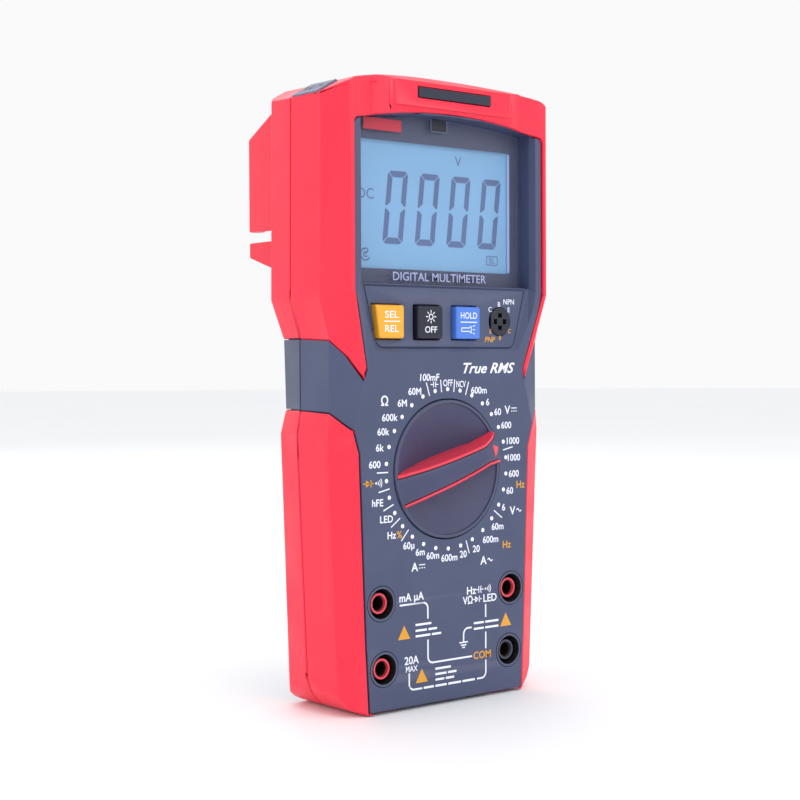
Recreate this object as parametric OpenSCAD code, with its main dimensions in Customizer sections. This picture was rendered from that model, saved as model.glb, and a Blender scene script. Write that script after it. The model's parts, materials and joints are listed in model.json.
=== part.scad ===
// Handheld digital multimeter with a dished rotary selector, three keys, four
// shrouded input jacks, a tilt stand and two probe holders on its back.
// The body stands on its lower corners. X is its width, Z its height, and Y runs
// from the front panel (y = 0 in the modules below) to the back.

/* [Body] */
// Overall width, at the chest
body_w = 88; // [80:1:110]
// Overall height
body_h = 183; // [170:1:225]
// Depth of the front shell, from the panel to the parting line
front_d = 17.6; // [17:0.1:22]
// Depth of the rear shell, from the parting line to the back
rear_d = 13.4; // [13:0.1:20]
// Thickness of the soft bumper over the shells
skin_t = 1.8; // [1.2:0.1:2.4]
// Wall thickness of the shells
wall_t = 2; // [1.4:0.1:2.6]
// Thickness of the front panel
panel_t = 2.2; // [1.6:0.1:2.6]
// Radius of the lower corners, seen from the front
foot_r = 11; // [6:0.5:14]
// Groove between bumper and shell
groove = 0.3; // [0.2:0.05:0.5]

/* [Display] */
// Lower edge of the display window
window_z = 122.4; // [121:0.1:126]
// Width of the shell on each side of the lens
lens_side = 11.3; // [10:0.1:14]
// Depth of the lens face behind the panel
lens_y = 3.4; // [2.6:0.1:3.6]
// Thickness of the lens
lens_t = 1.5; // [1:0.1:1.6]
// Thickness of the liquid crystal glass
glass_t = 2.1; // [1.6:0.1:2.3]

/* [Selector] */
// Height of the selector's axis
dial_z = 68.8; // [66:0.1:72]
// Radius of the selector knob
knob_r = 20.3; // [16:0.1:25]
// Height of the grip bar above the panel
grip_h = 5.4; // [3:0.1:8]
// Width of the grip bar at its neck, without its trims
grip_w = 4.5; // [3.6:0.1:6]
// Width of the grip bar at its ends
grip_end_w = 8; // [6:0.1:9.6]
// Thickness of each grip trim
trim_t = 0.9; // [0.6:0.1:1.4]
// Depth of the knob's dish below the panel
dish_d = 4.6; // [3:0.1:5]
// Angle of the pointer, clockwise from straight up
pointer_angle = 72; // [0:12:348]
// Number of switch positions
positions = 30; // [12:1:36]

/* [Keys] */
// Height of the key row
key_z = 111.6; // [111:0.1:112]
// Edge length of a key
key_w = 9.5; // [7:0.1:11]
// Spacing of the keys
key_pitch = 14.6; // [14.6:0.1:15]
// Height of the keys above the panel
key_h = 2; // [1.2:0.1:3]
// Travel of a key
key_travel = 0.8; // [0.4:0.1:1]

/* [Jacks] */
// Height of the lower jack row
jack_z = 12.7; // [12:0.1:14]
// Distance between the jack rows
jack_pitch = 18.8; // [17:0.1:21]
// Distance from a jack's axis to the edge of the panel
jack_margin = 5.75; // [5.6:0.05:7]
// Bore radius of a jack contact, for a 4 mm plug
jack_bore_r = 2; // [1.8:0.05:2.1]
// Length of a jack contact's bore
jack_bore_l = 19; // [14:0.5:19]
// Inner radius of the shroud around a contact
shroud_r = 4.3; // [4.1:0.1:4.5]

/* [Back] */
// Depth of the probe holders behind the rear shell
clip_d = 19.6; // [16:0.1:24]
// Radius of the probe channel
probe_r = 6.2; // [5:0.1:6.5]
// Radius of a battery cell
cell_r = 5.25; // [4.8:0.05:5.3]
// Length of a battery cell
cell_l = 44.5; // [40:0.5:46]
// Height of the stand's hinge
hinge_z = 99; // [97:0.5:104]
// Length of the stand below its hinge
stand_l = 76; // [60:1:88]

/* [Hidden] */
$fn = 72;

shell_grey = "#555c74";
bumper_red = "#f0354f";
far = 60;
seam = 0.3;
seat = 0.05;
run_gap = 0.3;
pin_fit = 0.1;

// Levels along Y
parting_y = front_d;
back_y = front_d + rear_d;
rear_face_y = back_y + 0.3;
chamfer_y = 4.5;
rear_chamfer = 3;
hood_y = -3.1;
rim_y = -2.5;
brow_y = -4;
ledge_y = lens_y + lens_t + seat;
ledge_t = 1.2;
glass_y = ledge_y + ledge_t + 0.25;
board_t = 1.6;
clip_back_y = back_y + clip_d;
row_y = -(clip_back_y - grip_h) / 2;

// Half widths and heights of the body's outline
half_w = body_w / 2;
foot_half = half_w - 5.8;
hip_half = half_w - 2.2;
waist_half = half_w - 3.4;
crown_half = half_w - 0.6;
hip_z = dial_z + 10.7;
waist_low_z = hip_z + 7.2;
waist_high_z = waist_low_z + 20;
chest_z = waist_high_z + 11.3;
tip_z = waist_low_z + 8;
panel_corner_z = hip_z + 1.5;
panel_hip_z = hip_z - 5.2;
shoulder_half = half_w - 8;
shoulder_drop = 3.8;
shoulder_z = body_h - 8;
arch_r = (pow(shoulder_half, 2) + pow(shoulder_drop, 2)) / (2 * shoulder_drop);
foot_inner = 17;
foot_front_y = 3;
foot_height = 5;
foot_lift = 0.8;
opening_half = half_w - 7.9;
opening_arch_r = 170;

// Where the flat front ends, at each height
front_half = [
    [0, half_w - 14.8], [jack_z + 7.3, half_w - 13.5], [panel_hip_z, half_w - 11.5],
    [panel_corner_z, half_w - 9.5], [tip_z, half_w - 12.9],
    [chest_z + 2.5, half_w - 6.3], [body_h, half_w - 6.3]
];
// Where the front chamfer meets the side
side_half = [
    [0, foot_half - 1], [hip_z, hip_half - 0.9], [waist_low_z, waist_half - 0.4],
    [waist_high_z, waist_half - 0.4], [chest_z, half_w - 0.5], [body_h, crown_half - 0.3]
];
// The widest line, at the parting
parting_half = [
    [0, foot_half], [hip_z, hip_half], [waist_low_z, waist_half],
    [waist_high_z, waist_half], [chest_z, half_w], [body_h, crown_half]
];
// Where the side meets the rear chamfer
rear_half = [
    [0, foot_half - 1], [hip_z, hip_half - 1.8], [waist_low_z, waist_half - 2.6],
    [waist_high_z, waist_half - 2], [chest_z, half_w - 0.9], [body_h, crown_half - 0.9]
];
front_level = [
    [0, 0], [tip_z, 0], [chest_z + 2.5, hood_y], [body_h, hood_y]
];
stations = [
    -1, jack_z + 7.3, panel_hip_z, hip_z, panel_corner_z, waist_low_z, tip_z,
    waist_high_z, chest_z, chest_z + 2.5, body_h + 1
];

// Selector
knob_clear = run_gap;
well_r = knob_r + knob_clear;
knob_back_y = dish_d + 2;
well_floor_y = knob_back_y + run_gap;
well_floor_t = 1.4;
rotor_y = well_floor_y + well_floor_t + run_gap;
rotor_t = 2.3;
rotor_r = knob_r - 3;
shaft_r = 7;
spigot_r = 4;
dish_top_y = -0.4;
bar_rise = grip_h + dish_top_y;
bar_arch_r = (pow(knob_r, 2) + pow(bar_rise, 2)) / (2 * bar_rise);
grip_neck = 0.6 * knob_r;
pointer_back = knob_r - 4.5;
pointer_tip = knob_r - 1.2;
pointer_half = 1.85;
pointer_floor_y = 0.2;
dish_half = knob_r - 0.8;
dish_depth = dish_d - dish_top_y;
dish_r = (pow(dish_half, 2) + pow(dish_depth, 2)) / (2 * dish_depth);
detent_r = 0.9;

// The board lies behind both the display and the selector's rotor
board_y = max(glass_y + glass_t + 3.25, rotor_y + rotor_t + 0.85);
board_back_y = board_y + board_t;

// Keys
key_clear = run_gap;
flange_w = key_w + 2.8;
flange_t = 1.1;
flange_y = panel_t + run_gap;
dome_y = board_y - 1.3;
plunger_end_y = dome_y - run_gap - key_travel;
key_x = [for (i = [0:2]) -22.6 + i * key_pitch];
key_slant = 1;
zone_groove = 0.4;
socket_x = 20.9;
socket_z = key_z + 0.6;

// Jacks: live milliampere, live 20 ampere, live volt, common
jack_high_z = jack_z + jack_pitch;
jack_high_x = lookup(jack_high_z, front_half) - jack_margin;
jack_low_x = lookup(jack_z, front_half) - jack_margin;
live_jacks = [[-jack_high_x, jack_high_z], [-jack_low_x, jack_z], [jack_high_x, jack_high_z]];
common_jack = [jack_low_x, jack_z];
all_jacks = concat(live_jacks, [common_jack]);
tower_r = shroud_r + 0.7;
sleeve_r = 3;
contact_wall = 0.3;
contact_y = 2.3;
sleeve_y = 1.3;
block_plate_y = board_y - 1.9;

// Board, its screws and the screws of the case
board_half = half_w - 11;
board_neck_half = half_w - 15;
board_low_z = 8;
board_neck_z = 52;
board_top_z = body_h - 15;
tongue_half = 9;
board_posts = [for (s = [-1, 1]) each [[s * (board_neck_half - 2.8), board_neck_z - 2],
    [s * (board_half - 3.5), waist_high_z - 8]]];
case_posts = [for (s = [-1, 1]) each [[s * (board_neck_half + 3.6), 42],
    [s * (half_w - 7.2), chest_z - 1.6], [s * 13, body_h - 8.7]]];
post_r = 2.6;
boss_r = 3;
pilot_r = 1;
shank_r = 0.95;
head_r = 2.2;

// Display
lens_half = half_w - lens_side;
lens_top_z = body_h - 11.8;
view_half = lens_half - 2.2;
view_low_z = window_z + 3.9;
view_high_z = body_h - 18.5;
glass_half = lens_half - 1.2;
glass_low_z = window_z + 1.6;
glass_high_z = board_top_z - 1.5;
sensor_w = 5;
sensor_z = view_high_z + 3.2;

// Battery compartment
cells = 4;
cell_gap = 0.4;
tub_half = cells * cell_r + (cells - 1) * cell_gap / 2 + 0.6;
tub_wall = 1.2;
tub_low_z = 40;
tub_high_z = tub_low_z + cell_l + 6;
door_t = 2;
door_lip = 2;
door_frame_w = 1.8;
door_frame_t = 1.4;
door_boss_r = 2.5;
cell_y = rear_face_y - door_t - 0.6 - cell_r;
tub_floor_y = cell_y - cell_r - 0.3 - tub_wall;

// Stand
stand_half = 20;
hinge_r = 2.4;
hinge_pin_r = 1.5;
hinge_y = rear_face_y + run_gap + hinge_r;
ear_t = 2.6;
ear_half = stand_half + run_gap;
stand_t = 3;

// Probe holders
clip_half = probe_r + 1.6;
clip_x = half_w - 8.8 - clip_half;
channel_y = clip_back_y - 8;
clip_low_z = 127;
clip_gap_z = 136.3;
clip_gap_h = 3.2;
clip_high_z = body_h - 8.5;
spine_t = 2.6;
mouth_half = 4.2;

// Signal bar and torch
signal_z = body_h - 6;
signal_half = 13.9;
signal_h = 2.9;
torch_z = board_top_z - 5;
torch_r = 3.5;

// Buzzer, behind its sound holes
buzzer_x = -13;
buzzer_z = waist_high_z + 4;
buzzer_y = board_back_y + 0.1;

// Helpers

module in_frame() translate([0, row_y, 0]) children();

module y_cylinder(r, y0, y1, x = 0, z = 0)
    translate([x, y0, z]) rotate([-90, 0, 0]) cylinder(r = r, h = y1 - y0);

module y_plate(y0, y1)
    translate([0, y1, 0]) rotate([90, 0, 0]) linear_extrude(y1 - y0) children();

module x_plate(x0, x1)
    translate([x0, 0, 0]) rotate([90, 0, 90]) linear_extrude(x1 - x0) children();

module y_box(x0, x1, y0, y1, z0, z1)
    translate([x0, y0, z0]) cube([x1 - x0, y1 - y0, z1 - z0]);

module both_sides() {
    children();
    mirror([1, 0, 0]) children();
}

function arc(x, z, r, a0, a1, n) =
    [for (i = [0:n]) let (a = a0 + (a1 - a0) * i / n) [x + r * cos(a), z + r * sin(a)]];

function mirrored(points) =
    [for (i = [len(points) - 1:-1:0]) [-points[i][0], points[i][1]]];

// One level of the body: right half from front to back, then the left half
function section(z, inset, front_y, rear_y) =
    let (right = [
        [lookup(z, front_half) - inset, front_y],
        [lookup(z, side_half) - inset, chamfer_y + 0.3 * inset],
        [lookup(z, parting_half) - inset, parting_y],
        [lookup(z, rear_half) - inset, back_y - rear_chamfer - 0.3 * inset],
        [lookup(z, rear_half) - rear_chamfer + 0.8 - inset, rear_y]
    ])
    concat(right, mirrored(right));

module loft(levels) {
    n = len(levels[0][1]);
    top = len(levels) - 1;
    points = [for (level = levels) for (p = level[1]) [p[0], p[1], level[0]]];
    sides = [for (i = [0:top - 1]) for (j = [0:n - 1]) let (k = (j + 1) % n) each [
        [i * n + j, (i + 1) * n + k, i * n + k],
        [i * n + j, (i + 1) * n + j, (i + 1) * n + k]
    ]];
    caps = [[for (j = [0:n - 1]) j], [for (j = [n - 1:-1:0]) top * n + j]];
    polyhedron(points = points, faces = concat(caps, sides));
}

// The front view: rounded feet, sloping shoulders and an arched top
module front_outline(inset) {
    foot_x = lookup(foot_r, parting_half) - foot_r;
    arch_z = body_h - arch_r;
    arch_a = asin(shoulder_half / arch_r);
    right = concat(
        [[0, inset]],
        arc(foot_x, foot_r, foot_r - inset, -90, 0, 8),
        [[half_w + 1, foot_r + 1], [half_w + 1, shoulder_z - 1.4 - inset]],
        [[crown_half - 0.4 * inset, shoulder_z - inset]],
        arc(0, arch_z, arch_r - inset, 90 - arch_a, 90, 8)
    );
    polygon(concat(right, [for (i = [len(right) - 2:-1:1]) [-right[i][0], right[i][1]]]));
}

// The side view only slopes the top towards the front and the back
module side_outline(inset)
    polygon([
        [-far, -1], [far, -1], [far, body_h - 4 - inset], [back_y, body_h - 2.5 - inset],
        [back_y - 4, body_h + 0.1 - inset], [chamfer_y, body_h + 0.1 - inset],
        [hood_y, body_h - 2.8 - inset], [-far, body_h - 3.2 - inset]
    ]);

module body_solid(inset, rear_y)
    intersection() {
        loft([for (z = stations) [z, section(z, inset, lookup(z, front_level) + inset, rear_y)]]);
        y_plate(-far, far) front_outline(inset);
        x_plate(-far, far) side_outline(inset);
    }

module hollow(inset)
    intersection() {
        loft([for (z = stations) [z, section(z, inset, panel_t, rear_face_y - wall_t)]]);
        y_plate(-far, far) front_outline(inset);
    }

// Shell colour shows on the panel, at the waist and inside the hood
module shell_outline() {
    right = concat(
        [for (z = [-2, jack_z + 7.3, panel_hip_z, panel_corner_z]) [lookup(z, front_half), z]],
        [
            [waist_half, waist_low_z], [far, waist_low_z],
            [far, waist_high_z], [waist_half, waist_high_z],
            [lookup(tip_z, front_half), tip_z], [lookup(tip_z, front_half) - 1, tip_z + 3.5],
            [opening_half, chest_z + 2.5], [opening_half, lens_top_z - 4.4]
        ],
        arc(0, lens_top_z + 0.3 - opening_arch_r, opening_arch_r, 78, 89, 5)
    );
    polygon(concat(right, mirrored(right)));
}

module shell_region() y_plate(-far, parting_y + 0.1) shell_outline();
module grown_shell_region() y_plate(-far, parting_y + 0.1) offset(delta = groove) shell_outline();

module foot_region(g)
    both_sides() y_box(foot_inner + g, far, foot_front_y + g, far, -1, foot_height - g);

module front_side() y_box(-far, far, -far, parting_y - seam / 2, -1, body_h + 1);
module rear_side() y_box(-far, far, parting_y + seam / 2, far, -1, body_h + 1);

module front_bumpers()
    difference() {
        intersection() {
            body_solid(0, back_y);
            front_side();
        }
        body_solid(skin_t - seat, rear_face_y);
        difference() {
            grown_shell_region();
            foot_region(groove);
        }
        y_box(-foot_inner - groove, foot_inner + groove, -far, far, -1, foot_height);
    }

module rear_bumpers()
    difference() {
        intersection() {
            body_solid(0, back_y);
            rear_side();
        }
        body_solid(skin_t - seat, rear_face_y);
        y_box(-far, far, 0, far, waist_low_z - groove, waist_high_z + groove);
        y_box(-foot_inner - groove, foot_inner + groove, 0, far, -1, foot_height);
    }

module lens_outline(g) {
    top = arc(0, lens_top_z - 230, 230 + g, 90, 90 - asin(lens_half / 230), 6);
    right = concat([[lens_half + g, window_z + 0.2 - g]], [for (i = [6:-1:0]) [
        min(top[i][0], lens_half) + (i == 6 ? g : 0), top[i][1]
    ]]);
    polygon(concat(right, mirrored(right)));
}

// Sub-parts: shells and bumpers

module front_case() color(shell_grey) in_frame() difference() {
    intersection() {
        front_side();
        union() {
            body_solid(skin_t, rear_face_y);
            intersection() {
                body_solid(0, back_y);
                difference() {
                    shell_region();
                    foot_region(0);
                }
                y_box(-far, far, rim_y, far, foot_lift, body_h);
            }
        }
    }
    difference() {
        hollow(skin_t + wall_t);
        y_box(-lens_half - 2.4, lens_half + 2.4, 0, ledge_y + ledge_t, window_z - 2, lens_top_z + 3);
        y_cylinder(well_r + 1.6, 0, well_floor_y + well_floor_t, 0, dial_z);
        for (p = board_posts) y_cylinder(post_r, 0, board_y - seat, p[0], p[1]);
        for (p = case_posts) y_cylinder(boss_r, 0, far, p[0], p[1]);
    }
    hull() {
        y_plate(-0.01, 0) polygon([
            [-lens_half, window_z], [-lens_half + 5.9, window_z - 17.8], [lens_half - 5.9, window_z - 17.8],
            [lens_half, window_z], [lens_half, lens_top_z - 2], [-lens_half, lens_top_z - 2]
        ]);
        y_plate(hood_y - 1, hood_y - 0.9) polygon([
            [-half_w + 9.5, chest_z + 2], [-half_w + 15, tip_z + 3], [half_w - 15, tip_z + 3],
            [half_w - 9.5, chest_z + 2], [half_w - 9.5, lens_top_z - 2], [-half_w + 9.5, lens_top_z - 2]
        ]);
    }
    y_plate(-far, ledge_y) lens_outline(0.15);
    y_box(-view_half, view_half, 0, far, view_low_z, view_high_z);
    y_box(-sensor_w / 2, sensor_w / 2, 0, far, sensor_z - 1.5, sensor_z + 1.5);
    y_box(-signal_half + 4, signal_half - 4, -far, far, signal_z - 1, signal_z + 0.6);
    y_cylinder(well_r, -far, well_floor_y, 0, dial_z);
    y_cylinder(shaft_r + pin_fit, 0, far, 0, dial_z);
    for (i = [0:2]) y_plate(-far, far) key_outline(i, key_clear);
    difference() {
        y_plate(-1, zone_groove) key_zone(zone_groove / 2);
        y_plate(-2, zone_groove + 1) key_zone(-zone_groove / 2);
    }
    y_cylinder(4.3, -far, far, socket_x, socket_z);
    for (p = all_jacks) y_cylinder(tower_r + 0.15, -far, board_y, p[0], p[1]);
    for (p = board_posts) y_cylinder(pilot_r, 4, far, p[0], p[1]);
    for (p = case_posts) y_cylinder(pilot_r, 7, far, p[0], p[1]);
}

module hood_bumper() color(bumper_red) in_frame() difference() {
    union() {
        intersection() {
            front_bumpers();
            y_box(-far, far, -far, far, tip_z - 2, body_h + 1);
        }
        intersection() {
            linear_extrude(body_h)
                polygon([[-23.4, hood_y + 1], [-23.4, hood_y], [-22, brow_y], [22, brow_y], [23.4, hood_y], [23.4, hood_y + 1]]);
            y_box(-far, far, brow_y - 1, hood_y + 1, lens_top_z + 1.6, body_h - 2.9);
        }
    }
    both_sides() translate([0, 0, lens_top_z - 4.6]) linear_extrude(far)
        polygon([[23.4, hood_y - 0.01], [28.8, hood_y + 1.5], [half_w - 9.7, hood_y - 0.01], [28.8, hood_y - 2]]);
    y_box(-signal_half - 0.1, signal_half + 0.1, -far, 0, signal_z - signal_h / 2 - 0.1, signal_z + signal_h / 2 + 0.1);
    shoulder_frame() cube([8, front_d - chamfer_y, 1.1], center = true);
}

module shoulder_frame()
    translate([-(shoulder_half + crown_half) / 2, (chamfer_y + parting_y) / 2, shoulder_z + 2.1])
        rotate([0, -atan2(8 - shoulder_drop, crown_half - shoulder_half), 0]) children();

module shoulder_plate() color("#9a9fb0") in_frame()
    shoulder_frame() cube([7.8, front_d - chamfer_y - 1, 1], center = true);

module lower_bumper(side) in_frame() intersection() {
    front_bumpers();
    y_box(side > 0 ? 0 : -far, side > 0 ? far : 0, -far, far, -1, waist_low_z + 1);
}

module lower_bumper_left() color(bumper_red) lower_bumper(-1);
module lower_bumper_right() color(bumper_red) lower_bumper(1);

module rear_case() color(shell_grey) in_frame() difference() {
    union() {
        difference() {
            intersection() {
                rear_side();
                union() {
                    body_solid(skin_t, rear_face_y);
                    intersection() {
                        body_solid(0, back_y);
                        union() {
                            y_box(-far, far, 0, far, waist_low_z, waist_high_z);
                            y_box(-foot_inner, foot_inner, 0, far, foot_lift, foot_height);
                        }
                    }
                }
            }
            difference() {
                hollow(skin_t + wall_t);
                for (p = case_posts) y_cylinder(boss_r + 0.2, parting_y + seam / 2, far, p[0], p[1]);
                y_cylinder(torch_r + 1.4, rear_face_y - 5, far, 0, torch_z);
            }
        }
        y_box(-tub_half - tub_wall, tub_half + tub_wall, tub_floor_y, rear_face_y - 1,
            tub_low_z - tub_wall, tub_high_z + tub_wall);
        y_plate(rear_face_y - door_t - door_frame_t, rear_face_y - 0.5) door_outline(door_frame_w);
        for (p = door_posts) y_cylinder(door_boss_r, rear_face_y - 8.5, rear_face_y - door_t, p[0], p[1]);
        both_sides() hinge_ear();
    }
    y_box(-tub_half, tub_half, tub_floor_y + tub_wall, far, tub_low_z, tub_high_z);
    y_plate(rear_face_y - door_t - 0.1, far) door_outline(0.15);
    for (p = door_posts) y_cylinder(pilot_r, rear_face_y - 8, far, p[0], p[1]);
    for (p = case_posts) {
        y_cylinder(1.4, 0, far, p[0], p[1]);
        y_cylinder(head_r + 0.4, rear_face_y - 4, far, p[0], p[1]);
    }
    y_cylinder(torch_r, rear_face_y - 2, far, 0, torch_z);
    y_cylinder(2.8, 0, far, 0, torch_z);
    for (a = [0:60:300]) y_cylinder(0.9, buzzer_y, far, buzzer_x + 4 * sin(a), buzzer_z + 4 * cos(a));
}

module hinge_ear()
    difference() {
        union() {
            x_plate(ear_half, ear_half + ear_t) translate([hinge_y, hinge_z]) circle(hinge_r + 0.9);
            y_box(ear_half, ear_half + ear_t, rear_face_y - 1, hinge_y,
                hinge_z - hinge_r - 0.9, hinge_z + hinge_r + 0.9);
        }
        x_plate(ear_half - 1, ear_half + ear_t + 1) translate([hinge_y, hinge_z]) circle(hinge_pin_r + pin_fit);
    }

module rear_top_bumper() color(bumper_red) in_frame() intersection() {
    rear_bumpers();
    y_box(-far, far, 0, far, waist_high_z - 1, body_h + 1);
}

module rear_bumper(side) in_frame() intersection() {
    rear_bumpers();
    y_box(side > 0 ? 0 : -far, side > 0 ? far : 0, 0, far, -1, waist_low_z + 1);
}

module rear_bumper_left() color(bumper_red) rear_bumper(-1);
module rear_bumper_right() color(bumper_red) rear_bumper(1);

// Sub-parts: back

module probe_clip() in_frame() difference() {
    x_plate(clip_x - clip_half, clip_x + clip_half) polygon([
        [rear_face_y + seat, clip_low_z], [rear_face_y + 4, clip_low_z], [clip_back_y, clip_low_z + 4.8],
        [clip_back_y, clip_gap_z], [rear_face_y + spine_t, clip_gap_z],
        [rear_face_y + spine_t, clip_gap_z + clip_gap_h], [clip_back_y, clip_gap_z + clip_gap_h],
        [clip_back_y, clip_high_z - 7], [rear_face_y + 6.7, clip_high_z], [rear_face_y + seat, clip_high_z + 0.5]
    ]);
    translate([clip_x, channel_y, 0]) cylinder(r = probe_r, h = body_h);
    y_box(clip_x - mouth_half, clip_x + mouth_half, channel_y, far, 0, body_h);
}

module probe_clip_left() color(bumper_red) mirror([1, 0, 0]) probe_clip();
module probe_clip_right() color(bumper_red) probe_clip();

module tilt_stand() color(shell_grey) in_frame() {
    translate([0, hinge_y, hinge_z]) rotate([0, 90, 0]) cylinder(r = hinge_r, h = 2 * stand_half, center = true);
    translate([0, hinge_y, hinge_z]) rotate([0, 90, 0])
        cylinder(r = hinge_pin_r, h = 2 * (stand_half + ear_t), center = true);
    difference() {
        y_plate(hinge_y - hinge_r, hinge_y - hinge_r + stand_t) polygon([
            [-stand_half, hinge_z], [-stand_half + 2, hinge_z - stand_l + 3], [-stand_half + 5, hinge_z - stand_l],
            [stand_half - 5, hinge_z - stand_l], [stand_half - 2, hinge_z - stand_l + 3], [stand_half, hinge_z]
        ]);
        y_plate(hinge_y - hinge_r - 1, far) polygon([
            [-stand_half + 7, hinge_z - 10], [-stand_half + 8, hinge_z - stand_l + 26],
            [stand_half - 8, hinge_z - stand_l + 26], [stand_half - 7, hinge_z - 10]
        ]);
    }
}

module door_outline(g)
    translate([-tub_half - door_lip - g, tub_low_z - 6 - g])
        square([2 * (tub_half + door_lip + g), tub_high_z - tub_low_z + 8 + 2 * g]);

door_posts = [for (s = [-1, 1]) [s * 14, tub_low_z - 3.6]];

module battery_door() color(shell_grey) in_frame() difference() {
    y_plate(rear_face_y - door_t, rear_face_y) door_outline(0);
    for (p = door_posts) {
        y_cylinder(1.3, 0, far, p[0], p[1]);
        y_cylinder(head_r + 0.1, rear_face_y - 1.1, far, p[0], p[1]);
    }
}

module screws(spots, head_y, head_h, tip_y)
    for (p = spots) {
        y_cylinder(head_r, head_y, head_y + head_h, p[0], p[1]);
        y_cylinder(shank_r, tip_y, head_y, p[0], p[1]);
    }

module door_screws() color("silver") in_frame()
    screws(door_posts, rear_face_y - 1.05, 1, rear_face_y - 7);

module case_screws() color("silver") in_frame()
    screws(case_posts, rear_face_y - 3.9, 1.8, 9);

module board_screws() color("silver") in_frame()
    screws(board_posts, board_back_y + seat, 1.2, board_y - 6);

module torch_lens() color("#dfe8f0") in_frame()
    y_cylinder(torch_r - 0.1, rear_face_y - 1.9, rear_face_y + 0.1, 0, torch_z);

module torch_led() color("#f4f4ee") in_frame() {
    y_cylinder(2.5, board_back_y + 7, rear_face_y - 2.4, 0, torch_z);
    for (s = [-1, 1]) y_box(s * 1.27 - 0.25, s * 1.27 + 0.25, board_back_y + seat, board_back_y + 7.1, torch_z - 0.25, torch_z + 0.25);
}

module cell_place()
    for (i = [0:cells - 1])
        translate([(i - (cells - 1) / 2) * (2 * cell_r + cell_gap), cell_y, tub_low_z + 3]) children();

module battery_cells() color("#3b6fb0") in_frame() cell_place() {
    cylinder(r = cell_r, h = cell_l - 0.8);
    cylinder(r = 1.9, h = cell_l);
}

module battery_contacts() color("silver") in_frame() cell_place() {
    translate([-4, -4, cell_l + 0.2]) cube([8, 8, 0.4]);
    translate([-4, -4, -2.7]) cube([8, 8, 0.4]);
    translate([0, 0, -2.4]) difference() {
        cylinder(r1 = 3.6, r2 = 2.4, h = 2.2);
        translate([0, 0, -0.1]) cylinder(r1 = 3, r2 = 1.8, h = 2.4);
    }
}

// Sub-parts: display

module display_lens() color("#8fb4d8", 0.5) in_frame()
    y_plate(lens_y, lens_y + lens_t) lens_outline(0);

module display_bezel() color("#22252e") in_frame() difference() {
    y_box(-glass_half - 1.4, glass_half + 1.4, glass_y - 0.15, board_y - seat, glass_low_z - 1.1, glass_high_z + 1.1);
    y_box(-glass_half - 0.1, glass_half + 0.1, 0, far, glass_low_z - 0.1, glass_high_z + 0.1);
}

module lcd_glass() color("#a9c9e2") in_frame()
    y_box(-glass_half, glass_half, glass_y, glass_y + glass_t, glass_low_z, glass_high_z);

module lcd_backlight() color("#e8eef4") in_frame()
    y_box(-glass_half + 0.6, glass_half - 0.6, glass_y + glass_t + 0.1, board_y - 1.4, glass_low_z + 4, glass_high_z - 0.6);

module zebra_strips() color("#30323a") in_frame()
    y_box(-glass_half + 2, glass_half - 2, glass_y + glass_t + seat, board_y - seat, glass_low_z + 0.3, glass_low_z + 2.6);

module light_sensor() color("#1c1d22") in_frame()
    y_box(-sensor_w / 2 + 0.3, sensor_w / 2 - 0.3, ledge_y + 0.1, ledge_y + ledge_t, sensor_z - 1.2, sensor_z + 1.2);

module signal_window() color("#2a2630") in_frame()
    y_box(-signal_half, signal_half, brow_y - 0.1, hood_y + skin_t - 0.1, signal_z - signal_h / 2, signal_z + signal_h / 2);

module signal_leds() color("#e8e0e0") in_frame()
    for (s = [-1, 1]) y_box(s * 5 - 1.6, s * 5 + 1.6, board_y - 1.7, board_y - seat, signal_z - 1.4, signal_z + 0.4);

// Sub-parts: selector

module at_dial() translate([0, 0, dial_z]) rotate([0, pointer_angle, 0]) children();

module dish(g) translate([0, dish_d - dish_r, 0]) sphere(r = dish_r - g, $fn = 96);

// Half the grip bar's width along its length: a neck towards the pointer, flared ends
function grip_edge(g) = [
    [grip_end_w / 2 + g, -knob_r - 1],
    [(grip_end_w + grip_w) / 4 + g, -knob_r / 2],
    [(grip_end_w + 2 * grip_w) / 6 + g, 0],
    [grip_w / 2 + g, grip_neck],
    [(grip_end_w + 2 * grip_w) / 6 + g, (grip_neck + knob_r) / 2],
    [grip_end_w / 2 + g, knob_r + 1]
];

// The bar's top is arched from rim to rim
module grip_block(g, r, drop) intersection() {
    y_plate(-far, knob_back_y) polygon(concat(grip_edge(g), mirrored(grip_edge(g))));
    y_cylinder(r, -grip_h - 1, knob_back_y);
    translate([-far, bar_arch_r - grip_h, 0]) rotate([0, 90, 0])
        cylinder(r = bar_arch_r - drop, h = 2 * far, $fn = 180);
}

module pointer_outline(g) polygon([
    [-pointer_half - 1.5 * g, pointer_back - g],
    [pointer_half + 1.5 * g, pointer_back - g],
    [0, pointer_tip + 2 * g]
]);

module selector_knob() color(shell_grey) in_frame() at_dial() difference() {
    union() {
        difference() {
            y_cylinder(knob_r, dish_top_y, knob_back_y);
            dish(0);
        }
        grip_block(0, knob_r, 0);
        y_cylinder(shaft_r, knob_back_y - 0.5, rotor_y - seat);
        y_cylinder(spigot_r, knob_back_y - 0.5, rotor_y + rotor_t);
    }
    y_cylinder(pilot_r, knob_back_y - 0.5, far);
    y_plate(-far, pointer_floor_y + seat) pointer_outline(seat);
}

module knob_trims() color(bumper_red) in_frame() at_dial() difference() {
    intersection() {
        grip_block(trim_t, dish_half - 0.2, 0.15);
        dish(seat);
    }
    y_plate(-far, far) polygon(concat(grip_edge(seat), mirrored(grip_edge(seat))));
}

module knob_pointer() color("#ff2f45") in_frame() at_dial() intersection() {
    y_plate(-grip_h, pointer_floor_y) pointer_outline(0);
    grip_block(0, knob_r, 0);
}

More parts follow.
